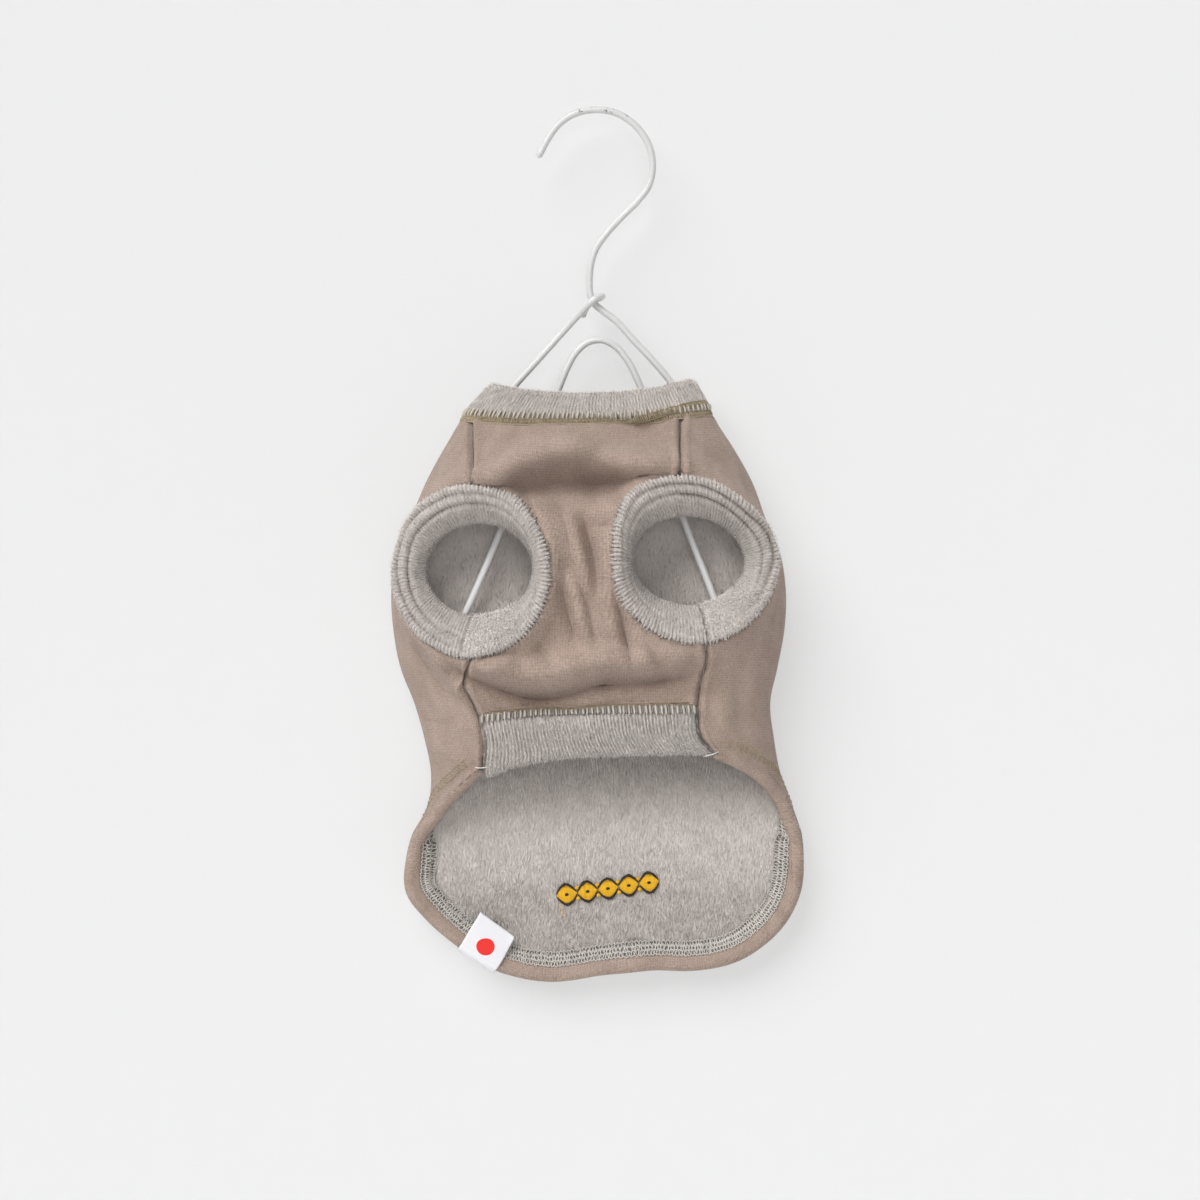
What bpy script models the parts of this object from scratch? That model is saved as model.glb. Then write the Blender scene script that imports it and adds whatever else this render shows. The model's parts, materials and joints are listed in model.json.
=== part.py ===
"""A small dog's pull-on sweat vest with fleece trims, hanging on a white wire hanger.

Millimetres in the tables below, metres in the scene. +Z is up and the belly side, with the two
leg holes, faces -Y. The origin is the underside of the hook's top, where the hanger hangs.
The cloth's middle is one surface over a turn angle (0 at the centre back, +-90 degrees at the
sides, 180 at the centre front) and a height. Every cloth piece is a wall made on it.
"""

import math
from typing import NamedTuple

import bmesh
import bpy
import numpy as np

MM = 0.001

# Cloth
WALL = 3.0  # brushed knit bonded to a short fleece
TRIM_WALL = 4.6  # a fleece strip folded double
SEAM_GAP = 0.5
SIDE_EDGE_Y = 2.0  # the side edges lie just behind the hanger's plane
BACK_FULLNESS = 0.45  # 0 is an ellipse, 0.5 is flat in the middle
FRONT_FULLNESS = 0.2
NECK_SEAM = (-138.6, 3.2, 1.4)  # height at front and back, rise at the sides, tilt towards +X
NECK_TOP = (-126.6, 5.6, 0.9)

# Hem turned to the inside
HEM_BEND = 1.8  # radius of the cloth's middle round the fold
HEM_TURN = 13.0

# Leg cuffs: a fleece strip folded double, sewn to the raised edge of each leg hole
CUFF_HALF = 3.0  # half the thickness of its pile
PANEL_RIM = -0.035  # ring position of the panels' edge: 0 is the middle of the rim, 1 the hole
CUFF_START = 0.06  # ring position of the cuff's sewn edge
CUFF_NOSE = 0.84  # ring position from which its free edge is round
CUFF_TILT = math.radians(16)  # how far each cuff faces outwards from the front

# Label folded round the hem
LABEL_WALL = 0.8
LABEL_GAP = 0.5
LABEL_WIDTH = 19.5
LABEL_INSIDE = 15.0
LABEL_OUTSIDE = 13.0
LABEL_AT = 0.33  # share of the hem's length, from the wearer's belly corner at -X

# Hanger
WIRE = 3.2
WIRE_SIDES = 2  # bevel resolution: eight sides
WIRE_GAP = 0.9  # between the wire and the cloth beside it
WIRE_PITCH, WRAP_PITCH, LOOP_PITCH = 5.2, 2.6, 6.5  # spacing of the wire's mesh rings


class Section(NamedTuple):
    """One level of the cloth: its side edges, and its depth before and behind the hanger."""

    height: float
    left: float
    right: float
    front: float
    back: float


class Ring(NamedTuple):
    """A leg hole: the ellipse of its raised rim and that of its sunk inner edge."""

    rim_x: float
    rim_z: float
    rim_half_x: float
    rim_half_z: float
    hole_x: float
    hole_z: float
    hole_half_x: float
    hole_half_z: float
    outward: int
    lean: float  # how far the top of the rim stands sideways of its middle


class Fold(NamedTuple):
    """A soft ridge, or a trough where height is negative, from start by middle to end."""

    face: int
    start: tuple
    middle: tuple
    end: tuple
    height: float
    width: float


SECTIONS = (
    Section(-108, -38.0, 33.0, 8.5, 5.0),
    Section(-121, -46.0, 40.2, 12.0, 7.0),
    Section(-136, -58.8, 48.5, 18.5, 8.5),
    Section(-151, -68.6, 58.6, 23.5, 9.0),
    Section(-167, -77.2, 67.4, 27.0, 9.0),
    Section(-183, -83.8, 73.2, 31.0, 8.5),
    Section(-199, -90.6, 79.8, 33.5, 8.5),
    Section(-215, -92.5, 82.2, 34.0, 8.5),
    Section(-232, -91.6, 81.6, 34.0, 8.5),
    Section(-249, -88.4, 78.5, 33.0, 8.5),
    Section(-265, -82.2, 75.2, 31.0, 8.5),
    Section(-281, -77.6, 76.8, 29.0, 8.5),
    Section(-298, -74.6, 80.0, 25.0, 8.5),
    Section(-313, -76.5, 85.6, 20.0, 8.0),
    Section(-326, -83.6, 89.6, 15.0, 7.5),
    Section(-340, -86.6, 90.4, 12.0, 7.0),
    Section(-400, -88.0, 91.0, 8.0, 6.0),
)

LEFT_RING = Ring(-54.6, -206.4, 33.4, 37.0, -55.9, -205.6, 24.3, 20.4, -1, 0.0)
RIGHT_RING = Ring(42.0, -201.2, 34.2, 37.2, 42.6, -199.8, 24.4, 20.8, 1, -4.0)

# Height of the cloth along the cuff's axis, against the ring position: 0 is the rim, 1 the hole.
RING_AT = (-0.95, -0.6, -0.3, -0.1, 0.12, 0.4, 0.7, 1.0, 1.4)
RING_RISE = (0.0, 1.2, 4.2, 5.4, 4.2, 0.9, -3.4, -7.8, -12.0)

FOLDS = (
    # crescent under the neck: crest, then its trough
    Fold(-1, (-52, -163), (-10, -142), (34, -163), 2.2, 7.0),
    Fold(-1, (-36, -168), (-8, -163), (20, -166), -2.6, 7.5),
    # the two long creases between the leg holes
    Fold(-1, (-24, -170), (-11, -192), (-5, -236), 2.6, 4.6),
    Fold(-1, (3, -199), (6, -226), (16, -252), 2.2, 4.8),
    Fold(-1, (-12, -172), (0, -188), (3, -214), -1.6, 5.5),
    # slack pouch over the belly band, and the recess below it
    Fold(-1, (-62, -247), (-8, -254), (48, -246), 3.6, 7.0),
    Fold(-1, (-58, -263), (-4, -266), (48, -261), -3.4, 4.6),
    # hollow of the wearer's left side, and soft waves of the back
    Fold(-1, (-82, -236), (-77, -256), (-70, -272), -2.4, 6.0),
    Fold(1, (-45, -160), (-30, -205), (-38, -262), 1.8, 9.0),
    Fold(1, (38, -165), (24, -215), (34, -276), 1.8, 9.5),
    Fold(1, (-8, -232), (2, -262), (-4, -300), -1.4, 10.0),
    Fold(1, (10, -366), (12, -380), (12, -396), -2.6, 9.0),
    Fold(1, (-34, -352), (-38, -372), (-40, -394), 2.0, 10.0),
)

# Side seams between the chest and the back, top to bottom, leaving out the leg hole between.
LEFT_SEAM_TOP = ((-137.5, -56.8), (-155, -56.4))
LEFT_SEAM_LOW = ((-256, -60.0), (-266, -55.6), (-281, -51.2), (-293.5, -52.2))
RIGHT_SEAM_TOP = ((-134.5, 35.6), (-152, 35.4))
RIGHT_SEAM_LOW = ((-246, 46.2), (-255, 44.4), (-268, 43.2), (-279, 44.4), (-286.5, 50.4))

BELLY_SEAM = (-270.6, -266.3)  # height at the left and right side seam
BELLY_INSET = 2.6  # how far the band's free corners stand in from the side seams
BELLY_EDGE = ((-56, -295.6), (-30, -292.0), (0, -289.6), (30, -288.4), (56, -288.2))

# Hem of the back: turn in degrees and height, from the left belly corner to the right one.
HEM = (
    (-133.5, -293.5),
    (-121.0, -302.5),
    (-104.0, -314.0),
    (-91.0, -328.0),
    (-80.0, -345.5),
    (-62.0, -359.5),
    (-48.0, -370.8),
    (-30.5, -384.6),
    (-15.5, -388.4),
    (1.5, -385.0),
    (14.0, -383.2),
    (27.0, -383.4),
    (40.0, -380.2),
    (54.0, -371.2),
    (69.0, -357.4),
    (83.0, -340.5),
    (93.0, -322.0),
    (101.0, -307.0),
    (120.0, -294.5),
    (138.5, -286.5),
)

# The wire's route, as (x, z) in the hanger's plane. WRAP also holds y.
HOOK = (
    (-27.9, -20.0), (-24.2, -12.8), (-18.2, -4.6), (-10.6, 0.1), (-2.4, 1.6), (6.0, 0.6),
    (13.5, -3.4), (19.4, -9.6), (22.9, -17.3), (23.6, -25.2), (22.0, -32.4), (17.4, -39.0),
    (9.7, -46.7), (2.7, -54.4), (-2.1, -61.4), (-4.2, -68.4), (-4.8, -76.0), (-4.4, -81.4),
    (-2.6, -85.6), (1.4, -89.0), (6.8, -93.0), (13.6, -100.4), (30.2, -118.8), (38.0, -130.0),
)
WRAP = (
    (-7.9, 1.9, -91.6), (-6.9, 2.9, -88.4), (-5.4, 3.8, -85.4), (-2.6, 4.0, -83.6),
    (0.3, 2.5, -82.6), (1.0, 0.0, -82.3), (0.0, -2.6, -82.7), (-2.6, -4.0, -84.2),
    (-5.6, -3.4, -86.8), (-9.4, -1.7, -90.6), (-15.8, 0.0, -97.4), (-28.0, 0.0, -111.0),
    (-37.4, 0.0, -121.4), (-47.0, 0.0, -132.4),
)
ARCH = (
    (-27.0, -143.0), (-18.2, -122.9), (-14.9, -114.8), (-10.6, -107.4), (-5.4, -103.0),
    (0.8, -102.0), (7.0, -104.9), (12.4, -111.2), (17.6, -121.7), (24.2, -141.0),
)
LEFT_LEG = (
    (-82.6, -230.0), (-79.0, -240.5), (-73.2, -246.0), (-67.2, -243.6), (-63.6, -234.0),
    (-60.6, -223.6), (-45.0, -188.6), (-27.15, -143.35),
)
RIGHT_LEG = (
    (72.0, -226.0), (69.4, -237.0), (64.4, -243.4), (58.2, -241.8), (54.6, -231.0),
    (50.4, -215.6), (37.4, -181.8), (24.3, -141.3),
)
SHOULDER_STARTS = ((-47.25, -132.7), (38.2, -130.4))
SHOULDER_HEIGHTS = (-148.0, -160.0, -174.0, -190.0, -205.0, -218.0)

# Counts of mesh steps
PANEL_ABOVE, PANEL_ARC, PANEL_BELOW, PANEL_BAND = 8, 15, 8, 3
CHEST_ACROSS, BACK_ACROSS = 12, 32
CUFF_AROUND, NECK_AROUND, BELLY_ACROSS = 30, 40, 12
FOLD_STEPS, TURN_STEPS = 4, 2
CUFF_STEPS, CUFF_NOSE_STEPS = 4, 4
NECK_STEPS, BELLY_STEPS, STRIP_NOSE_STEPS = 3, 5, 5
LABEL_ACROSS, LABEL_FOLD_STEPS = 5, 6
SIDE_CROWDING = 0.6  # how much closer the back's columns lie beside the leg holes

# Small steps over which the surface's slopes are taken, and the length of one radian of turn
TURN_STEP, HEIGHT_STEP = 0.008, 0.4
TURN_LENGTH = 85.0


def through(keys, values, where):
    """Cubic pieces through (keys, values), each key's slope taken from its two neighbours."""
    keys, values = np.asarray(keys, float), np.asarray(values, float)
    slopes = np.gradient(values, keys, axis=0)
    where = np.clip(where, keys[0], keys[-1])
    piece = np.clip(np.searchsorted(keys, where) - 1, 0, len(keys) - 2)
    step = keys[piece + 1] - keys[piece]
    t = (where - keys[piece]) / step
    if values.ndim > 1:
        step, t = step[..., None], t[..., None]
    start = (1 + 2 * t) * (1 - t) ** 2 * values[piece] + t * (1 - t) ** 2 * step * slopes[piece]
    end = t * t * (3 - 2 * t) * values[piece + 1] + t * t * (t - 1) * step * slopes[piece + 1]
    return start + end


def along_length(points, count, dense=400):
    """count points spaced evenly along a smooth curve through the given ones."""
    points = np.asarray(points, float)
    chord = np.concatenate([[0], np.cumsum(np.linalg.norm(np.diff(points, axis=0), axis=1))])
    curve = through(chord, points, np.linspace(0, chord[-1], dense))
    length = np.concatenate([[0], np.cumsum(np.linalg.norm(np.diff(curve, axis=0), axis=1))])
    even = np.linspace(0, length[-1], count)
    return np.stack([np.interp(even, length, curve[:, k]) for k in range(points.shape[1])], axis=1)


def level(height):
    """Centre, half width, front depth and back depth of the cloth at each height."""
    table = np.array(SECTIONS[::-1], float)
    left, right, front, back = (through(table[:, 0], table[:, k], height) for k in (1, 2, 3, 4))
    return (left + right) / 2, (right - left) / 2, front, back


def ring_ellipse(ring, at):
    """Centre x, centre z, half x and half z of the ring's ellipse at a ring position."""
    return (
        ring.rim_x + at * (ring.hole_x - ring.rim_x),
        ring.rim_z + at * (ring.hole_z - ring.rim_z),
        ring.rim_half_x + at * (ring.hole_half_x - ring.rim_half_x),
        ring.rim_half_z + at * (ring.hole_half_z - ring.rim_half_z),
    )


def ring_lean(ring, at, rise):
    """Sideways shift of the ring's upper half, rise being -1 at its bottom and 1 at its top."""
    return ring.lean * (1 - at) * fade(rise)


def ring_point(ring, at, angle):
    """(x, z) of the ring's ellipse at a ring position, seen from the front."""
    cx, cz, half_x, half_z = ring_ellipse(ring, at)
    rise = np.sin(angle)
    return cx + half_x * np.cos(angle) + ring_lean(ring, at, rise), cz + half_z * rise


def ring_position(ring, x, z):
    """Ring position of a point seen from the front, found by halving: the ellipses shrink inwards."""
    low, high = np.full_like(x, -1.5), np.full_like(x, 1.8)
    for _ in range(24):
        at = (low + high) / 2
        cx, cz, half_x, half_z = ring_ellipse(ring, at)
        rise = (z - cz) / half_z
        inside = ((x - cx - ring_lean(ring, at, rise)) / half_x) ** 2 + rise**2 < 1
        low, high = np.where(inside, at, low), np.where(inside, high, at)
    return (low + high) / 2


def fold_lift(fold, x, z, samples=18):
    """Sum of soft round bumps strung along the fold, fading towards its two ends."""
    route = along_length((fold.start, fold.middle, fold.end), samples)
    spacing = np.linalg.norm(route[-1] - route[0]) / (samples - 1)
    strength = np.sin(np.pi * (np.arange(samples) + 0.5) / samples) ** 0.7
    apart = (x[..., None] - route[:, 0]) ** 2 + (z[..., None] - route[:, 1]) ** 2
    bumps = np.exp(-apart / fold.width**2) * strength
    return fold.height * bumps.sum(axis=-1) * spacing / (fold.width * math.sqrt(math.pi))


def fade(share):
    """Rises smoothly from 0 to 1 as the share does."""
    share = np.clip(share, 0, 1)
    return share * share * (3 - 2 * share)


def surface(turn, height):
    """The middle of the cloth at a turn angle and a height."""
    turn, height = np.broadcast_arrays(np.asarray(turn, float), np.asarray(height, float))
    centre, half, front, back = level(height)
    across, along = np.sin(turn), np.cos(turn)
    fullness = np.where(along > 0, BACK_FULLNESS, FRONT_FULLNESS)
    x = centre + half * across
    y = SIDE_EDGE_Y + np.where(along > 0, back, front) * along * (1 + fullness * across**2)
    on_front, on_back = fade((-along - 0.02) / 0.43), fade((along - 0.05) / 0.4)
    lifted = np.stack([x, y, height], axis=-1)
    for fold in FOLDS:
        on_face = on_front if fold.face < 0 else on_back
        lifted[..., 1] += fold.face * on_face * fold_lift(fold, x, height)
    for ring in (LEFT_RING, RIGHT_RING):
        rise = on_front * through(RING_AT, RING_RISE, ring_position(ring, x, height))
        lifted[..., 0] += ring.outward * math.sin(CUFF_TILT) * rise
        lifted[..., 1] -= math.cos(CUFF_TILT) * rise
    return lifted


def unit(vectors):
    """The vectors at length 1."""
    return vectors / np.linalg.norm(vectors, axis=-1, keepdims=True)


def slopes(turn, height):
    """How the surface moves with the turn angle and with the height."""
    by_turn = surface(turn + TURN_STEP, height) - surface(turn - TURN_STEP, height)
    by_height = surface(turn, height + HEIGHT_STEP) - surface(turn, height - HEIGHT_STEP)
    return by_turn / (2 * TURN_STEP), by_height / (2 * HEIGHT_STEP)


def outward(turn, height):
    """The cloth's normal, away from the dog."""
    by_turn, by_height = slopes(turn, height)
    return unit(np.cross(by_height, by_turn))


def front_turn(x, height):
    """Turn angle of the front point at x."""
    centre, half, _, _ = level(height)
    share = np.clip((x - centre) / half, -0.9995, 0.9995)
    return np.where(share < 0, -math.pi, math.pi) - np.arcsin(share)


def walk(turn, height, direction, distance, steps=6):
    """Moves points over the surface along a direction, and returns where they come to."""
    turn, height = np.array(turn, float), np.array(height, float)
    for _ in range(steps):
        by_turn, by_height = slopes(turn, height)
        normal = unit(np.cross(by_height, by_turn))
        flat = unit(direction - normal * (direction * normal).sum(axis=-1, keepdims=True))
        step = flat * np.asarray(distance)[..., None] / steps
        tt, hh = (by_turn**2).sum(axis=-1), (by_height**2).sum(axis=-1)
        th = (by_turn * by_height).sum(axis=-1)
        st, sh = (step * by_turn).sum(axis=-1), (step * by_height).sum(axis=-1)
        turn = turn + (st * hh - sh * th) / (tt * hh - th**2)
        height = height + (sh * tt - st * th) / (tt * hh - th**2)
    return turn, height


def patch(left, right, top, bottom, u):
    """A grid of points between four edge curves that meet at their ends, u across it from 0 to 1."""
    length = np.concatenate([[0], np.cumsum(np.linalg.norm(np.diff(left, axis=0), axis=1))])
    v = (length / length[-1])[None, :, None]
    u = u[:, None, None]
    sides = (1 - u) * left[None] + u * right[None]
    ends = (1 - v) * top[:, None] + v * bottom[:, None]
    corners = (1 - u) * ((1 - v) * left[0] + v * left[-1]) + u * ((1 - v) * right[0] + v * right[-1])
    return sides + ends - corners


def neck_line(line, turn):
    """Height of the neck's seam or of its top edge at a turn angle."""
    height, rise, tilt = line
    return height + rise * np.sin(turn) ** 2 + tilt * np.sin(turn)


def hole_arc(ring, count, medial):
    """(x, z) points of the panel's edge round one half of a leg hole, top to bottom."""
    side = -ring.outward if medial else ring.outward
    turned = 0 if side > 0 else math.pi
    angle = turned + side * np.linspace(math.pi / 2, -math.pi / 2, count + 1)
    x, z = ring_point(ring, PANEL_RIM, angle)
    return np.stack([x + side * SEAM_GAP / 2, z], axis=1)


def side_edge(ring, top, low, belly_height, medial):
    """(x, z) points down one side of a panel: seam, leg hole, seam, and for the back the band."""
    shift = ((-ring.outward if medial else ring.outward) * SEAM_GAP / 2, 0)
    arc = hole_arc(ring, PANEL_ARC, medial)
    above = along_length([(x, z) for z, x in top] + [arc[0] - shift], PANEL_ABOVE + 1) + shift
    below = along_length([arc[-1] - shift] + [(x, z) for z, x in low], 201) + shift
    crossing = int(np.argmin(abs(below[:, 1] - belly_height)))
    rows = [above[:-1], arc, below[np.linspace(0, crossing, PANEL_BELOW + 1).astype(int)[1:]]]
    if not medial:
        rows.append(below[np.linspace(crossing, 200, PANEL_BAND + 1).astype(int)[1:]])
    return np.concatenate(rows)


def side_edges(medial):
    """Both sides of the chest panel, or of the back where medial is false."""
    left = side_edge(LEFT_RING, LEFT_SEAM_TOP, LEFT_SEAM_LOW, BELLY_SEAM[0], medial)
    right = side_edge(RIGHT_RING, RIGHT_SEAM_TOP, RIGHT_SEAM_LOW, BELLY_SEAM[1], medial)
    return left, right


def chest_grid():
    """(turn, height) grid of the chest panel, left to right and top to bottom."""
    left, right = side_edges(medial=True)
    for edge in (left, right):
        edge[0, 1] = neck_line(NECK_SEAM, front_turn(edge[0, 0], edge[0, 1]))
    across = np.linspace(0, 1, CHEST_ACROSS + 1)
    x = left[0, 0] + across * (right[0, 0] - left[0, 0])
    top = np.stack([x, neck_line(NECK_SEAM, front_turn(x, np.full_like(x, NECK_SEAM[0])))], axis=1)
    top[0], top[-1] = left[0], right[0]
    bottom = left[-1] + across[:, None] * (right[-1] - left[-1])
    grid = patch(left, right, top, bottom, across)
    return front_turn(grid[..., 0], grid[..., 1]), grid[..., 1]


def hem_line(count):
    """(turn, height) points evenly spaced along the back's hem."""
    table = np.array(HEM, float)
    table[:, 0] = np.radians(table[:, 0])
    scale = (TURN_LENGTH, 1.0)
    dense = along_length(table * scale, 400) / scale
    places = surface(dense[:, 0], dense[:, 1])
    length = np.concatenate([[0], np.cumsum(np.linalg.norm(np.diff(places, axis=0), axis=1))])
    even = np.linspace(0, length[-1], count)
    return np.stack([np.interp(even, length, dense[:, k]) for k in (0, 1)], axis=1)


def back_grid():
    """(turn, height) grid of the back panel, from the left seam round the back to the right."""
    left, right = side_edges(medial=False)
    hem = hem_line(BACK_ACROSS + 1)
    left = np.stack([front_turn(left[:, 0], left[:, 1]), left[:, 1]], axis=1)
    right = np.stack([front_turn(right[:, 0], right[:, 1]), right[:, 1]], axis=1)
    left[0, 1], right[0, 1] = neck_line(NECK_SEAM, left[0, 0]), neck_line(NECK_SEAM, right[0, 0])
    left[-1], right[-1] = hem[0], hem[-1]
    even = np.linspace(0, 1, BACK_ACROSS + 1)
    across = even - SIDE_CROWDING * np.sin(2 * math.pi * even) / (2 * math.pi)
    turn = left[0, 0] + across * (right[0, 0] - left[0, 0])
    top = np.stack([turn, neck_line(NECK_SEAM, turn)], axis=1)
    scale = (TURN_LENGTH, 1.0)
    grid = patch(left * scale, right * scale, top * scale, hem * scale, across) / scale
    return grid[..., 0], grid[..., 1]


def hem_frame(turn, height):
    """Normal of the cloth and the direction out of the hem, at the points of a hem line."""
    normal = outward(turn, height)
    tangent = unit(np.gradient(surface(turn, height), axis=0))
    return normal, unit(np.cross(normal, tangent))


def make_mesh(name, points, faces, colour, roughness, metallic=0.0):
    """Adds a closed mesh object, points in millimetres, with outward faces and its material."""
    mesh = bpy.data.meshes.new(name)
    mesh.from_pydata((np.asarray(points) * MM).tolist(), [], [list(map(int, face)) for face in faces])
    work = bmesh.new()
    work.from_mesh(mesh)
    bmesh.ops.recalc_face_normals(work, faces=work.faces)
    work.to_mesh(mesh)
    work.free()
    mesh.shade_smooth()
    mesh.set_sharp_from_angle(angle=math.radians(40))
    made = bpy.data.objects.new(name, mesh)
    bpy.context.scene.collection.objects.link(made)
    made.data.materials.append(finish(name, colour, roughness, metallic))
    return made


def finish(name, colour, roughness, metallic=0.0):
    """A plain Principled material in linear colour."""
    material = bpy.data.materials.new(name + "_finish")
    material.use_nodes = True
    shader = material.node_tree.nodes["Principled BSDF"]
    shader.inputs["Base Color"].default_value = (*colour, 1.0)
    shader.inputs["Roughness"].default_value = roughness
    shader.inputs["Metallic"].default_value = metallic
    return material


def quads(columns, rows, wrap_columns=False, wrap_rows=False, start=0):
    """Index quads of a grid stored column by column."""
    i = np.arange(columns if wrap_columns else columns - 1)[:, None]
    j = np.arange(rows if wrap_rows else rows - 1)[None, :]
    near, far = i * rows, ((i + 1) % columns) * rows
    up = (j + 1) % rows
    return start + np.stack([near + j, near + up, far + up, far + j], axis=-1).reshape(-1, 4)


def wall(name, middle, normal, thickness, **look):
    """A closed wall on a grid of middle points (columns, rows, 3) with its normals."""
    columns, rows = middle.shape[:2]
    outer = (middle + normal * thickness / 2).reshape(-1, 3)
    inner = (middle - normal * thickness / 2).reshape(-1, 3)
    count = len(outer)
    index = np.arange(count).reshape(columns, rows)
    rim = np.concatenate([index[:-1, 0], index[-1, :-1], index[:0:-1, -1], index[0, :0:-1]])
    ahead = np.roll(rim, -1)
    edge = np.stack([rim, ahead, ahead + count, rim + count], axis=1)
    outside = quads(columns, rows)
    faces = np.concatenate([outside, quads(columns, rows, start=count)[:, ::-1], edge])
    return make_mesh(name, np.concatenate([outer, inner]), faces, **look)


def loft(name, loops, closed, **look):
    """A solid through closed section loops (sections, points, 3): a ring, or with two flat ends."""
    sections, points = loops.shape[:2]
    faces = quads(sections, points, wrap_columns=closed, wrap_rows=True).tolist()
    if not closed:
        faces.append(list(range(points)))
        faces.append(list(range((sections - 1) * points, sections * points)))
    return make_mesh(name, loops.reshape(-1, 3), faces, **look)


def strip_loops(turn, height):
    """Section loops of a folded strip over (sections, steps) points, its last step the free edge.

    The outer face runs down the steps, a half circle rounds the free edge, and the inner face
    runs back.
    """
    half = TRIM_WALL / 2
    middle, normal = surface(turn, height), outward(turn, height)
    ahead = unit(middle[:, -1] - middle[:, -2])[:, None]
    angle = np.linspace(0, math.pi, STRIP_NOSE_STEPS)[None, :, None]
    tip = middle[:, -1:] + half * (np.sin(angle) * ahead + np.cos(angle) * normal[:, -1:])
    outer, inner = middle + half * normal, middle - half * normal
    return np.concatenate([outer[:, :-1], tip, inner[:, -2::-1]], axis=1)


def build_chest(look):
    """The belly side's panel, from the neck seam down to the belly band's seam."""
    turn, height = chest_grid()
    wall("chest_panel", surface(turn, height), outward(turn, height), WALL, **look)


def build_back(look):
    """The back with its hem folded to the inside: body rows, the fold, then the turned edge."""
    turn, height = back_grid()
    middle, normal = [surface(turn, height)], [outward(turn, height)]
    hem_turn, hem_height = turn[:, -1], height[:, -1]
    face, out = hem_frame(hem_turn, hem_height)
    place = middle[0][:, -1]
    for step in range(1, FOLD_STEPS + 1):
        angle = math.pi * step / FOLD_STEPS
        bend = HEM_BEND * (math.sin(angle) * out - (1 - math.cos(angle)) * face)
        middle.append((place + bend)[:, None])
        normal.append((math.cos(angle) * face + math.sin(angle) * out)[:, None])
    for step in range(1, TURN_STEPS + 1):
        distance = np.full(len(hem_turn), HEM_TURN * step / TURN_STEPS)
        inner_turn, inner_height = walk(hem_turn, hem_height, -out, distance)
        inner_face = outward(inner_turn, inner_height)
        inner_place = surface(inner_turn, inner_height) - 2 * HEM_BEND * inner_face
        middle.append(inner_place[:, None])
        normal.append(-inner_face[:, None])
    wall("back_panel", np.concatenate(middle, axis=1), np.concatenate(normal, axis=1), WALL, **look)


def build_neckband(look):
    """A strip folded double along its top edge, standing on the neck seam all round."""
    turn = np.linspace(-math.pi, math.pi, NECK_AROUND, endpoint=False)
    sewn = neck_line(NECK_SEAM, turn) + SEAM_GAP
    free = neck_line(NECK_TOP, turn) - TRIM_WALL / 2
    height = sewn[:, None] + np.linspace(0, 1, NECK_STEPS) * (free - sewn)[:, None]
    loft("neckband", strip_loops(np.repeat(turn[:, None], NECK_STEPS, axis=1), height), True, **look)


def build_belly_band(look):
    """A strip folded double along its lower edge, with its ends just inside the side seams."""
    left, right = side_edges(medial=False)
    rows = PANEL_ABOVE + PANEL_ARC + PANEL_BELOW
    across = np.linspace(0, 1, BELLY_ACROSS + 1)
    sewn = left[rows] + across[:, None] * (right[rows] - left[rows]) - (0, SEAM_GAP)
    free_x = left[-1, 0] + across * (right[-1, 0] - left[-1, 0])
    table = np.array(BELLY_EDGE, float)
    free_z = through(table[:, 0], table[:, 1], free_x) + TRIM_WALL / 2
    share = np.linspace(0, 1, BELLY_STEPS)
    height = sewn[:, 1:] + share * (free_z - sewn[:, 1])[:, None]
    inset = SEAM_GAP * 1.5 + BELLY_INSET * share
    low, high = (
        np.interp(-height, -edge[rows - PANEL_BAND :, 1], edge[rows - PANEL_BAND :, 0])
        for edge in (left, right)
    )
    x = low + inset + across[:, None] * (high - low - 2 * inset)
    loft("belly_band", strip_loops(front_turn(x, height), height), False, **look)


def build_cuff(name, ring, look):
    """A strip folded double, from the raised rim down into the hole, where its edge is round."""
    angle = math.pi / CUFF_AROUND + np.linspace(-math.pi, math.pi, CUFF_AROUND, endpoint=False)

    def place(at):
        x, z = ring_point(ring, at, angle)
        turn = front_turn(x, z)
        return surface(turn, z), outward(turn, z)

    outer, inner = [], []
    for at in np.linspace(CUFF_START, CUFF_NOSE, CUFF_STEPS + 1):
        middle, face = place(at)
        outer.append(middle + CUFF_HALF * face)
        inner.append(middle - CUFF_HALF * face)
    ahead = place(CUFF_NOSE + 0.1)[0] - middle
    ahead = unit(ahead - face * (ahead * face).sum(axis=1, keepdims=True))
    nose = []
    for step in range(1, CUFF_NOSE_STEPS):
        bend = math.pi * step / CUFF_NOSE_STEPS
        nose.append(middle + CUFF_HALF * (math.sin(bend) * ahead + math.cos(bend) * face))
    loft(name, np.stack(outer + nose + inner[::-1], axis=1), True, **look)


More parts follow.
